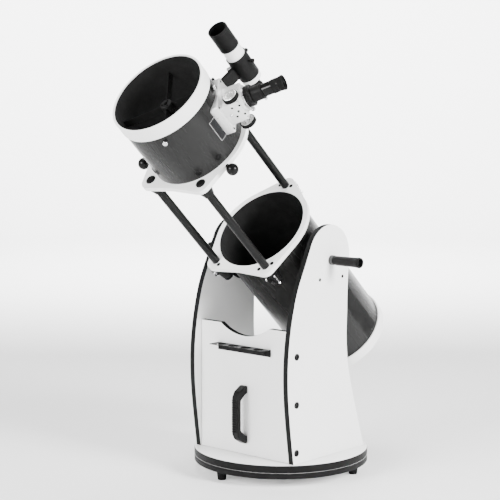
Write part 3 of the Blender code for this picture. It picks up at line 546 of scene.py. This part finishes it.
def tension_handle(side, sign, turn, end):
    place = STAND @ shift(sign * SIDE_OUT, 0, ALT_Z) @ turn
    body = f"tension_handle_{side}"

    def collar(shape):
        turned(shape, [(0, 0.0122), (0.0134, 0.0122), (0.0148, 0.0108), (0.0148, 0.0075), (0.0138, 0.0068),
                       (0.0138, 0.0052), (0.0148, 0.0045), (0.0148, 0.0004), (0.0058, 0.0004),
                       (0.0058, -0.036), (0, -0.036)], 72, radius=0.0005)
    piece(f"tension_bolt_{side}", collar, body, GREY, place, (body,))

    def grip(shape):
        turned(shape, [(0, end - 0.014), (0.0100, end - 0.014), (0.0125, end - 0.0005), (0.0145, end),
                       (0.0160, end - 0.003), (0.0159, end - 0.010), (0.0150, end - 0.018),
                       (0.0146, end - 0.040), (0.0140, end - 0.070), (0.0136, 0.0123), (0, 0.0123)], 96,
               radius=0.0012)
    piece(f"tension_grip_{side}", grip, body, PLASTIC, place)

    def seam(shape):
        for turned_by in (0, 120, 240):
            block(shape, (0.0128, -0.0016, 0.020), (0.0147, 0.0016, end - 0.020), spin(turned_by, "Z"))
    piece(f"tension_grip_ribs_{side}", seam, body, RUBBER, place, (), 0.0006)


# The tube
def truss_outline(steps=24):
    reach = ROD_CIRCLE + 0.002
    lean = math.degrees(math.acos((RING_OUT - LOBE_R) / reach))
    points = []
    angles = sorted(angle % 360 for angle in ROD_ANGLES)
    for angle, after in zip(angles, [*angles[1:], angles[0] + 360]):
        turn = math.radians(angle)
        x, y = reach * math.cos(turn), reach * math.sin(turn)
        points += arc(x, y, LOBE_R, angle - lean, angle + lean, steps)
        between = after - angle - 2 * lean
        if between > 1:
            points += arc(0, 0, RING_OUT, angle + lean, after - lean, max(4, round(between / 3)))
        else:  # the two tangents cross before they reach the circle
            middle, away = math.radians((angle + after) / 2), math.radians(lean - (after - angle) / 2)
            cross = RING_OUT / math.cos(away)
            points.append((cross * math.cos(middle), cross * math.sin(middle)))
    return points


def rod_spots():
    turns = [math.radians(angle) for angle in ROD_ANGLES]
    return [(ROD_CIRCLE * math.cos(turn), ROD_CIRCLE * math.sin(turn)) for turn in turns]


def truss_ring(name, body, low, high):
    def draw(shape):
        holes = [circle(x, y, ROD_HOLE, 48) for x, y in rod_spots()]
        flat(shape, [truss_outline(), circle(0, 0, TUBE_R + GAP, 160), *holes], low, high)
    piece(f"{name}_finished", draw, body, POWDER, TUBE, (name,), 0.0016)


def pipe(name, body, low, high):
    inner = TUBE_R - TUBE_WALL

    def inside(centre, normal):
        return 1 if centre.to_2d().length < inner + 0.0004 else 0
    return piece(f"{name}_finished",
                 lambda shape: turned(shape, annulus(TUBE_R, inner, low, high), 192, radius=0.0004),
                 body, [TUBE_PAINT, INSIDE], TUBE, (name,), pick=inside)


def patch(shape, low, high, middle, half_angle, inner, outer, steps=12):
    """A curved plate on the tube between two places along it."""
    corners = []
    for i in range(steps + 1):
        turn = math.radians(middle - half_angle + 2 * half_angle * i / steps)
        out = Vector((math.cos(turn), math.sin(turn), 0))
        corners.append([shape.verts.new(out * r + Vector((0, 0, s)))
                        for r, s in ((inner, low), (inner, high), (outer, high), (outer, low))])
    for first, second in zip(corners, corners[1:]):
        for i in range(4):
            k = (i + 1) % 4
            shape.faces.new((first[i], first[k], second[k], second[i]))
    shape.faces.new(corners[0])
    shape.faces.new(corners[-1])


def lower_tube():
    body = "lower_tube"
    pipe("lower_tube", body, LOWER_END, LOWER_TOP)
    truss_ring("lower_truss_ring", body, LOWER_RING_TOP - RING_T, LOWER_RING_TOP)

    def rear(shape):
        bore = TUBE_R + GAP
        turned(shape, [(0.1495, -0.3835), (0.1502, -0.386), (0.1502, -0.416), (0.1485, -0.418),
                       (0.128, -0.418), (0.128, LOWER_END - GAP), (bore, LOWER_END - GAP),
                       (bore, -0.3835)], 192, radius=0.0015)
    piece("rear_ring_finished", rear, body, POWDER, TUBE, ("rear_ring",))
    recut("cell_frame", body, PLASTIC, 0.0010)
    recut("mirror_cell", body, SILVER, 0.0006)

    def mirror(shape):
        top, depth = MIRROR_LOW + MIRROR_T, 0.0034
        dish = [(MIRROR_R * t, top - depth * (1 - t * t)) for t in [i / 16 for i in range(16)]]
        turned(shape, [*dish, (MIRROR_R - 0.001, top), (MIRROR_R, top - 0.001),
                       (MIRROR_R, MIRROR_LOW), (0, MIRROR_LOW)], 160, radius=0)
    piece("primary_mirror_finished", mirror, body, [MIRROR, GLASS_SIDE], TUBE, ("primary_mirror",),
          pick=lambda centre, normal: 0 if normal.z > 0.8 else 1)

    def clips(shape):
        for angle in (90, 210, 330):
            place = spin(angle, "Z") @ ALONG_MINUS_Y
            outline = [(MIRROR_R + 0.0005, -0.369), (MIRROR_R + 0.004, -0.369), (MIRROR_R + 0.004, -0.3282),
                       (MIRROR_R - 0.006, -0.3282), (MIRROR_R - 0.006, -0.3303), (MIRROR_R + 0.0005, -0.3303)]
            flat(shape, [outline], -0.010, 0.010, place)
    piece("mirror_clips", clips, body, PLASTIC, TUBE, (), 0.0006)

    for number, angle in enumerate(CELL_ANGLES, 1):
        spring(f"collimation_spring_{number}", TUBE @ spin(angle, "Z") @ shift(CELL_CIRCLE, 0, 0), body,
               0.0065, LOWER_END + 0.013, -0.3702, 5)

    for side, turn in (("right", ALONG_X), ("left", ALONG_MINUS_X)):
        recut(f"altitude_hub_{side}", body, PLASTIC, 0.0008)

        def rim(shape):
            turned(shape, annulus(FLANGE_R + 0.0004, 0.075, HUB_IN - 0.0002, HUB_IN + 0.0043), 160,
                   radius=0.001)
            turned(shape, annulus(HUB_R + 0.0001, 0.030, HUB_IN + 0.003, HUB_OUT + 0.0002), 128,
                   radius=0.001)
        piece(f"altitude_flange_{side}", rim, body, PLASTIC, TUBE @ turn)

    for number, angle in enumerate(ROD_ANGLES, 1):
        recut(f"truss_clamp_{number}", body, PLASTIC, 0.0012)
        for way in (-1, 1):
            turn = math.radians(angle + way * RING_SCREW_LEAN)
            spot = shift(RING_SCREW_R * math.cos(turn), RING_SCREW_R * math.sin(turn), LOWER_RING_TOP)
            cap_screw(f"ring_screw_{number}_{'a' if way < 0 else 'b'}", TUBE @ spot, body, 0.0062, 0.0009)

    def band(shape):
        patch(shape, -0.375, -0.10, 1.9, 11.1, TUBE_R - 0.0005, TUBE_R + 0.0004)
    piece("tube_band", band, body, BAND, TUBE)
    for number, angle in enumerate((2, 64, 122, 182, 242, 302), 1):
        cap_screw(f"rear_screw_{number}", radial(angle, -0.373, TUBE_R - 0.0002), body, 0.0032, 0.0016, GREY)


def spring(name, place, body, radius, low, high, turns):
    curve = bpy.data.curves.new(name, "CURVE")
    curve.dimensions = "3D"
    curve.bevel_depth, curve.bevel_resolution, curve.use_fill_caps = 0.0007, 3, True
    spline = curve.splines.new("POLY")
    count = turns * 20
    spline.points.add(count)
    for i, point in enumerate(spline.points):
        turn = math.tau * i / 20
        point.co = (radius * math.cos(turn), radius * math.sin(turn), low + (high - low) * i / count, 1)
    curve.materials.append(CHROME)
    obj = bpy.data.objects.new(name, curve)
    bpy.context.scene.collection.objects.link(obj)
    obj.matrix_world = place
    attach(obj, body)


def clamp_lever(number, angle, side):
    """The lever's end of the cross bolt is on the side that the sign names."""
    place = radial(angle, CLAMP_BOLT_S, CLAMP_BOLT_R) @ (EYE if side < 0 else spin(180, "X"))

    def bolt(shape):
        turned(shape, [(0, 0.016), (0.0044, 0.016), (0.0052, 0.0150), (0.0052, 0.0130), (0.0044, 0.0122),
                       (0.0060, 0.0118), (0.0060, 0.0113), (0.0022, 0.0113), (0.0022, -0.0113),
                       (0.0046, -0.0115), (0.0046, -0.0160), (0, -0.0160)], 36, spin(-90, "X"), 0.0003)
    body = f"clamp_lever_{number}"
    piece(f"{body}_bolt", bolt, body, CHROME, place, (body,))

    def arm(shape):
        turned(shape, [(0, 0.0368), (0.0026, 0.0360), (0.0042, 0.0330), (0.0026, 0.0298), (0.0018, 0.0285),
                       (0.0022, 0.010), (0.0032, 0.002), (0, 0.002)], 36,
               shift(0, -0.0138, 0) @ spin(-90, "Y"), 0.0008)
    piece(f"{body}_arm", arm, body, CHROME, place)


def collimation_knob(number, angle):
    body = f"collimation_knob_{number}"
    place = TUBE @ spin(angle, "Z") @ shift(CELL_CIRCLE, 0, 0)
    top = LOWER_END - GAP
    piece(f"{body}_grip",
          lambda shape: turned(shape, [(0, top), (0.008, top), (0.014, top - 0.006), (0.014, top - 0.0205),
                                       (0.012, top - 0.0228), (0, top - 0.0228)], 72, radius=0.001,
                               ribs=(12, 0.0010, top - 0.0215, top - 0.006)),
          body, PLASTIC, place, (body,))
    piece(f"{body}_bolt", lambda shape: turned(shape, [(0, -0.3642), (0.003, -0.3642), (0.003, top + 0.0001),
                                                       (0, top + 0.0001)], 32, radius=0.0003),
          body, CHROME, place)


# The upper stage
def upper_stage():
    body = "upper_stage"
    ring_low = UPPER_RING_TOP - RING_T
    top, low = UPPER_RING_TOP + 0.0002, CLAMP_LOW - GAP
    for number, (x, y) in enumerate(rod_spots(), 1):
        place = TUBE @ shift(x, y, 0)
        piece(f"truss_rod_{number}_finished",
              lambda shape: turned(shape, [(0, top), (ROD_R, top), (ROD_R, low), (0, low)], 72,
                                   radius=0.0003),
              body, ROD, place, (f"truss_rod_{number}",))

        def fittings(shape):
            turned(shape, [(0, top + 0.0052), (0.0075, top + 0.0052), (0.0105, top + 0.0048),
                           (0.0146, top + 0.0030), (0.0152, top), (0, top)], 64, radius=0.0008,
                   ribs=(12, 0.0008, top + 0.0002, top + 0.0047))
            turned(shape, [(0, low), (0.0148, low), (0.0148, low - 0.009), (0.0135, low - 0.011),
                           (0, low - 0.011)], 64, radius=0.001)
            turned(shape, [(0.0238, ring_low), (0.0236, ring_low - 0.0060), (0.0166, ring_low - 0.0290),
                           (0.0158, ring_low - 0.0300), (0.0158, ring_low - 0.0345),
                           (0.0127, ring_low - 0.0350), (0.0127, ring_low)], 64, radius=0.0010)
        piece(f"rod_fittings_{number}", fittings, body, PLASTIC, place)
    truss_ring("upper_truss_ring", body, ring_low, UPPER_RING_TOP)
    tube = pipe("upper_tube", body, UPPER_END, UPPER_TOP)
    into = TUBE.inverted() @ FOCUS
    subtract(tube, lambda shape: drum(shape, 0.032, 0.10, 0.20, 64, into))

    def front(shape):
        bore = TUBE_R + GAP
        turned(shape, [(0.1455, 0.742), (0.1468, 0.7405), (0.1468, 0.699), (0.1462, 0.698), (bore, 0.698),
                       (bore, UPPER_TOP + GAP), (0.1405, UPPER_TOP + GAP), (0.1405, 0.742)], 192,
               radius=0.001)
    piece("front_ring_finished", front, body, POWDER, TUBE, ("front_ring",))

    def spider(shape):
        turned(shape, annulus(0.018, 0.0036, SPIDER_S - 0.014, SPIDER_S + 0.014), 72, radius=0.0012)
        for angle in VANE_ANGLES:
            block(shape, (0.0170, -0.0005, SPIDER_S - 0.011), (TUBE_R - TUBE_WALL, 0.0005, SPIDER_S + 0.011),
                  spin(angle, "Z"))
    piece("spider_finished", spider, body, INSIDE, TUBE, ("spider",))
    for number, angle in enumerate(VANE_ANGLES, 1):
        place = radial(angle, SPIDER_S, TUBE_R)
        piece(f"spider_nut_{number}", lambda shape: thumb_head(shape, 0.003, 0.0120, 0.0075, 16), body,
              CHROME, place)
        piece(f"spider_washer_{number}",
              lambda shape: turned(shape, [(0, 0.0032), (0.0068, 0.0030), (0.0068, 0.0), (0, 0.0)], 48,
                                   radius=0.0004), body, PLASTIC, place)
    secondary(body)

    for number, (angle, s) in enumerate(((-52, 0.532), (-23, 0.536), (-121, 0.542)), 1):
        piece(f"tube_plug_{number}",
              lambda shape: turned(shape, [(0, 0.0022), (0.0085, 0.0020), (0.0100, 0.0002), (0.0100, -0.0012),
                                           (0, -0.0012)], 48, radius=0.0006),
              body, PLASTIC, radial(angle, s, TUBE_R))
    label(body)


def secondary(body):
    out = (TUBE.inverted() @ FOCUS).to_3x3() @ Vector((0, 0, 1))
    normal = (Vector((0, 0, 1)) - out).normalized()
    slope = Matrix.Translation((0, 0, FOCUS_S)) @ normal.to_track_quat("Z", "Y").to_matrix().to_4x4()

    def holder(shape):
        turned(shape, [(0, SPIDER_S + 0.020), (0.0033, SPIDER_S + 0.020), (0.0033, SECONDARY_HIGH),
                       (0.026, SECONDARY_HIGH), (0.0285, SECONDARY_HIGH - 0.003), (0.0285, SECONDARY_LOW),
                       (0, SECONDARY_LOW)], 96, radius=0.0005)
    made = piece("secondary_holder_finished", holder, body, PLASTIC, TUBE,
                 ("secondary_holder",))
    far = 0.2
    subtract(made, lambda shape: block(shape, (-far, -far, -0.3), (far, far, SECONDARY_T + 0.0002), slope))

    def mirror(shape):
        drum(shape, 0.0315, SECONDARY_LOW, SECONDARY_HIGH + 0.010, 96)
    glass = piece("secondary_mirror_finished", mirror, body, [MIRROR], TUBE, ("secondary_mirror",))
    subtract(glass, lambda shape: block(shape, (-far, -far, -0.3), (far, far, 0.0), slope))
    subtract(glass, lambda shape: block(shape, (-far, -far, SECONDARY_T), (far, far, 0.3), slope))
    for number in range(3):
        turn = math.radians(120 * number + 90)
        spot = shift(0.0115 * math.cos(turn), 0.0115 * math.sin(turn), SPIDER_S + 0.0138)
        cap_screw(f"secondary_screw_{number + 1}", TUBE @ spot, body, 0.0030, 0.003, PLASTIC)
    cap_screw("secondary_bolt", TUBE @ shift(0, 0, SPIDER_S + 0.0138), body, 0.0050, 0.0062, PLASTIC)


def label(body):
    piece("label_plate", lambda shape: patch(shape, 0.567, 0.637, 0, 7.6, TUBE_R - 0.0005, TUBE_R + 0.0003),
          body, LABEL, TUBE)

    def border(shape):
        low, high, wide = 0.5655, 0.6385, 8.2
        patch(shape, low, low + 0.0012, 0, wide, TUBE_R - 0.0004, TUBE_R + 0.00045)
        patch(shape, high - 0.0012, high, 0, wide, TUBE_R - 0.0004, TUBE_R + 0.00045)
        for middle in (-wide + 0.25, wide - 0.25):
            patch(shape, low + 0.0011, high - 0.0011, middle, 0.25, TUBE_R - 0.0004, TUBE_R + 0.00045, 2)
    piece("label_border", border, body, FOIL, TUBE)


def ball_knob(number, angle):
    body = f"ball_knob_{number}"
    place = radial(angle, UPPER_RING_TOP - RING_T / 2, 0.1636)

    def knob(shape):
        centre, radius = 0.0262, 0.0178
        sphere = [(radius * math.sin(math.radians(t)), centre + radius * math.cos(math.radians(t)))
                  for t in range(0, 160, 5)]
        turned(shape, [*sphere, (0.0056, 0.0088), (0.0050, 0.0075), (0.0050, 0.004), (0.0068, 0.0025),
                       (0.0068, -0.002), (0, -0.002)], 96, radius=0)
    piece(f"{body}_finished", knob, body, GLOSS, place, (body,), sharp=50)


# The focuser
def focuser():
    body = "upper_stage"
    recut("focuser_base", body, SILVER, 0.0016)
    recut("focuser_body", body, SILVER, 0.0014)

    def rim(shape):
        turned(shape, annulus(0.0388, 0.0290, 0.2060, 0.2123), 128, radius=0.0010)
    flange = piece("focuser_flange", rim, body, [SILVER], FOCUS)
    subtract(flange, lambda shape: block(shape, (-0.0048, 0.0200, 0.2040), (0.0048, 0.0346, 0.2140)))
    corners = [(x, y) for y in (0.056, -0.056) for x in (0.043, -0.043)]
    for number, (x, y) in enumerate(corners, 1):
        cap_screw(f"base_screw_{number}", FOCUS @ shift(x, y, 0.1523), body, 0.0036, 0.0016, INSIDE)
    for number, (x, z) in enumerate(((0.020, 0.204), (0.020, 0.181), (0.0025, 0.192), (-0.0135, 0.204),
                                     (-0.0135, 0.180)), 1):
        cap_screw(f"body_screw_{number}", FOCUS @ shift(x, 0.0498, z) @ ALONG_MINUS_Y @ spin(180, "X"), body,
                  0.0036, 0.0008, INSIDE)
    cap_screw("tension_screw", FOCUS @ shift(-0.002, 0.0498, 0.166) @ ALONG_MINUS_Y @ spin(180, "X"), body,
              0.0042, 0.0034, CHROME)
    focus_knobs()
    thumbscrew("focuser_lock_screw", FOCUS @ shift(0, -0.0300, 0.178) @ ALONG_MINUS_Y, "focuser_lock_screw",
               0.020, 0.0065, CHROME, True)
    draw_tube()
    eyepiece()


def focus_knobs():
    body = "focus_knobs"
    place = FOCUS @ shift(0, SHAFT_Y, SHAFT_Z) @ ALONG_X
    half, rim = KNOB_OFF + 0.0075, KNOB_OFF - 0.0075

    def shaft(shape):
        turned(shape, [(0, rim), (0.0072, rim), (0.0072, 0.0362), (0.003, 0.0362), (0.003, 0.0042),
                       (0.0055, 0.0042), (0.0055, -0.0042), (0.003, -0.0042), (0.003, -0.0362),
                       (0.0072, -0.0362), (0.0072, -rim), (0, -rim)], 64, radius=0.0004)
    piece("focus_shaft", shaft, body, CHROME, place, ("focus_shaft_and_knobs",))
    for name, turn in (("upper", EYE), ("lower", spin(180, "X"))):
        def face(shape):
            turned(shape, [(0, half - 0.0012), (0.010, half - 0.0012), (0.0120, half), (0.0198, half),
                           (0.0212, half - 0.0015), (0.0212, rim + 0.0005), (0, rim + 0.0005)], 96,
                   radius=0.0006, ribs=(36, 0.0007, half - 0.0010, half + 0.001))
        piece(f"focus_knob_{name}", face, body, MACHINED, place @ turn)

        def tyre(shape):
            turned(shape, [(0.0214, half - 0.0012), (0.0235, half - 0.0030), (0.0235, rim + 0.001),
                           (0.0225, rim), (0.0205, rim), (0.0205, half - 0.0012)], 96, radius=0.0008,
                   ribs=(40, 0.0005, rim + 0.0012, half - 0.0030))
        piece(f"focus_knob_tyre_{name}", tyre, body, RUBBER, place @ turn)


def thumbscrew(name, place, body, length, head_r, look, replaces):
    def draw(shape):
        thumb_head(shape, length - 0.0085, length, head_r)
        turned(shape, [(0, length - 0.0084), (0.0024, length - 0.0084), (0.0024, 0.0), (0, 0.0)], 32,
               radius=0.0003)
    piece(f"{name}_finished", draw, body, look, place, (name,) if replaces else ())


def draw_tube():
    body = "draw_tube"
    piece("draw_tube_finished",
          lambda shape: turned(shape, annulus(0.0285, 0.0262, 0.128, 0.2167), 128, radius=0.0004),
          body, [CHROME, INSIDE], FOCUS, ("draw_tube",),
          pick=lambda centre, normal: 1 if centre.to_2d().length < 0.0268 else 0)
    piece("draw_tube_rack", lambda shape: block(shape, (-0.0040, 0.0280, 0.1560), (0.0040, 0.0338, 0.2030)),
          body, GREY, FOCUS, (), 0.0004)

    def ring(shape):
        turned(shape, [(0.0300, 0.2345), (0.0315, 0.2330), (0.0315, 0.2285), (0.0306, 0.2280),
                       (0.0306, 0.2265), (0.0315, 0.2260), (0.0315, 0.2170), (0.0258, 0.2170),
                       (0.0258, 0.2345)], 128, radius=0.0004)
        turned(shape, [(0.0222, 0.2680), (0.0226, 0.2665), (0.0226, 0.2620), (0.0220, 0.2615),
                       (0.0226, 0.2608), (0.0228, 0.2330), (0.0256, 0.2325), (0.0256, 0.2010),
                       (0.0162, 0.2010), (0.0162, 0.2680)], 128, radius=0.0005)
    piece("eyepiece_holder_finished", ring, body, PLASTIC, FOCUS, ("eyepiece_holder",))

    def facing(turn, z, start):
        return FOCUS @ shift(0, 0, z) @ spin(turn, "Z") @ ALONG_X @ shift(0, 0, start)
    thumbscrew("eyepiece_clamp_screw", facing(121, 0.2255, 0.0164), "eyepiece_clamp_screw", 0.028, 0.0060,
               CHROME, True)
    for number, spot in enumerate(((-120, 0.2225, 0.0310), (185, 0.2600, 0.0200)), 1):
        thumbscrew(f"holder_screw_{number}", facing(*spot), body, 0.0135, 0.0052, CHROME, False)


def eyepiece():
    body = "eyepiece"

    def barrel(shape):
        turned(shape, annulus(0.0158, 0.0140, 0.2100, 0.2685), 96, radius=0.0003)
    piece("eyepiece_barrel", barrel, body, CHROME, FOCUS)

    def housing(shape):
        turned(shape, [(0, 0.3235), (0.0135, 0.3240), (0.0150, 0.3300), (0.0195, 0.3300), (0.0198, 0.3100),
                       (0.0195, 0.2960), (0.0192, 0.2950), (0.0192, 0.2700), (0.0180, 0.2684),
                       (0, 0.2684)], 128, radius=0.0005)
    piece("eyepiece_housing", housing, body, GLOSS, FOCUS, ("eyepiece",))

    def grip(shape):
        turned(shape, annulus(0.0205, 0.0190, 0.2985, 0.3150), 128, radius=0.0004,
               ribs=(44, 0.0006, 0.2990, 0.3145))
    piece("eyepiece_grip", grip, body, RUBBER, FOCUS)

    def cup(shape):
        turned(shape, [(0.0180, 0.3345), (0.0216, 0.3340), (0.0224, 0.3320), (0.0210, 0.3250),
                       (0.0203, 0.3180), (0.0190, 0.3180), (0.0178, 0.3290), (0.0168, 0.3330)], 128,
               radius=0.0006)
    piece("eye_cup", cup, body, RUBBER, FOCUS)

    def lens(shape):
        turned(shape, [(0, 0.3252), (0.006, 0.3249), (0.012, 0.3240), (0, 0.3236)], 96, radius=0)
    piece("eye_lens", lens, body, LENS, FOCUS)


# The finder
def finder():
    body = "finder"

    def bracket(shape):
        turned(shape, annulus(0.0320, 0.0291, 0.556, 0.639), 128, radius=0.0012)
    piece("finder_ring", bracket, body, PLASTIC, FINDER, ("finder_bracket",))
    foot_low, foot_high = 0.154 - FINDER_AXIS_R, 0.1625 - FINDER_AXIS_R

    def stem(shape):
        block(shape, (foot_high - 0.002, -0.007, 0.575), (-0.0305, 0.007, 0.615))
        block(shape, (foot_low + 0.0003, -0.0133, 0.566), (foot_high, 0.0133, 0.624))
    piece("finder_stem", stem, body, PLASTIC, FINDER, (), 0.0015)

    def tube(shape):
        turned(shape, [(0, 0.6745), (0.0280, 0.6745), (0.0280, 0.6395), (0.0285, 0.639), (0.0285, 0.5557),
                       (0.0305, 0.5557), (0.0305, 0.5415), (0.0290, 0.540), (0, 0.540)], 128, radius=0.0006)
    piece("finder_tube_finished", tube, body, POWDER, FINDER, ("finder_tube",))

    def eye(shape):
        turned(shape, [(0, 0.5402), (0.0165, 0.5402), (0.0165, 0.5150), (0.0190, 0.5120), (0.0190, 0.4860),
                       (0.0165, 0.4820), (0.0100, 0.4820), (0.0080, 0.4895), (0, 0.4900)], 96, radius=0.0006,
               ribs=(30, 0.0006, 0.490, 0.509))
    piece("finder_eyepiece", eye, body, PLASTIC, FINDER)
    for number, angle in enumerate(FINDER_SCREW_ANGLES, 1):
        place = FINDER @ spin(angle, "Z") @ shift(0, 0, FINDER_SCREW_S) @ ALONG_X @ shift(0, 0, 0.0290)
        thumbscrew(f"finder_screw_{number}", place, f"finder_screw_{number}", 0.020, 0.0060, PLASTIC,
                   True)
    plunger = FINDER @ spin(160, "Z") @ shift(0, 0, FINDER_SCREW_S) @ ALONG_X

    def spring_case(shape):
        turned(shape, [(0, 0.046), (0.0045, 0.046), (0.0058, 0.0445), (0.0058, 0.0310), (0, 0.0310)], 48,
               radius=0.0006)
    piece("finder_plunger", spring_case, body, CHROME, plunger)
    recut("finder_shoe", "upper_stage", PLASTIC, 0.0010)
    thumbscrew("shoe_screw", TUBE @ spin(FINDER_DEG, "Z") @ shift(0.1585, -0.0142, 0.610) @ ALONG_MINUS_Y,
               "shoe_screw", 0.022, 0.0065, CHROME, True)

    def shield(shape):
        turned(shape, [(0, 0.6995), (0.0274, 0.6995), (0.0274, 0.746), (0.0300, 0.746), (0.0300, 0.7380),
                       (0.0297, 0.7375), (0.0297, 0.6850), (0.0300, 0.6845), (0.0300, 0.6750),
                       (0, 0.6750)], 128, radius=0.0005)
    piece("finder_dew_shield_finished", shield, "finder_dew_shield", PLASTIC, FINDER,
          ("finder_dew_shield",))

    def objective(shape):
        turned(shape, [(0, 0.7035), (0.012, 0.7028), (0.020, 0.7012), (0.0262, 0.6992), (0, 0.6990)], 96,
               radius=0)
    piece("finder_objective", objective, "finder_dew_shield", LENS, FINDER)


# The studio: a pale bowl, four soft lamps as (name, place, size, watts, aim) and the camera
BOWL_R, BOWL_FILLET, BOWL_TOP = 6.5, 1.5, 2.4
SKY = 0.70
CAMERA_OFFSET, CAMERA_HEIGHT, CAMERA_BACK = (3.2351, -3.8100), 1.2985, (0.6569, -0.7441, 0.1219)
FOCAL_MM, SENSOR_MM = 117.53, 36
LAMPS = (("key", (4.7, 0.2, 2.5), (1.4, 1.8), 640, (0, 0, 0.7)),
         ("front", (-0.6, -4.7, 2.2), (2.0, 1.6), 330, (0, 0, 0.7)),
         ("top", (-0.4, 0.4, 4.2), (2.4, 2.4), 170, (0, 0, 0.7)),
         ("backdrop", (-2.2, 2.6, 3.4), (4.0, 1.2), 1300, (-6.2, 7.0, 0.9)))


def studio():
    shape = bmesh.new()
    sweep = [(BOWL_R + BOWL_FILLET * math.sin(math.radians(t)), BOWL_FILLET * (1 - math.cos(math.radians(t))))
             for t in range(0, 91, 6)]
    turned(shape, [(0, 0), *sweep, (BOWL_R + BOWL_FILLET, BOWL_TOP)], 96, radius=0)
    bmesh.ops.recalc_face_normals(shape, faces=shape.faces)
    mesh = bpy.data.meshes.new("backdrop")
    shape.to_mesh(mesh)
    shape.free()
    mesh.materials.append(FLOOR)
    mesh.shade_smooth()
    backdrop = bpy.data.objects.new("backdrop", mesh)
    bpy.context.scene.collection.objects.link(backdrop)
    world = bpy.data.worlds.new("studio")
    world.use_nodes = True
    sky = world.node_tree.nodes["Background"]
    sky.inputs["Color"].default_value = (1, 1, 1, 1)
    sky.inputs["Strength"].default_value = SKY
    bpy.context.scene.world = world
    for name, spot, size, power, aim in LAMPS:
        lamp = bpy.data.lights.new(name, "AREA")
        lamp.shape, lamp.size, lamp.size_y, lamp.energy = "RECTANGLE", *size, power
        obj = bpy.data.objects.new(name, lamp)
        bpy.context.scene.collection.objects.link(obj)
        obj.location = spot
        obj.rotation_euler = (Vector(spot) - Vector(aim)).to_track_quat("Z", "Y").to_euler()

    lens = bpy.data.cameras.new("camera")
    lens.lens, lens.sensor_width = FOCAL_MM, SENSOR_MM
    camera = bpy.data.objects.new("camera", lens)
    bpy.context.scene.collection.objects.link(camera)
    camera.location = azimuth + Vector((*CAMERA_OFFSET, CAMERA_HEIGHT - azimuth.z))
    camera.rotation_euler = Vector(CAMERA_BACK).to_track_quat("Z", "Y").to_euler()
    bpy.context.scene.camera = camera


studio()
ground()
rocker()
tension_handle("right", 1, ALONG_X, 0.111)
tension_handle("left", -1, ALONG_MINUS_X, 0.104)
lower_tube()
for count, (rod_angle, lever_side) in enumerate(zip(ROD_ANGLES, LEVER_SIDES), 1):
    clamp_lever(count, rod_angle, lever_side)
for count, cell_angle in enumerate(CELL_ANGLES, 1):
    collimation_knob(count, cell_angle)
upper_stage()
for count, knob_angle in enumerate(KNOB_ANGLES, 1):
    ball_knob(count, knob_angle)
focuser()
finder()
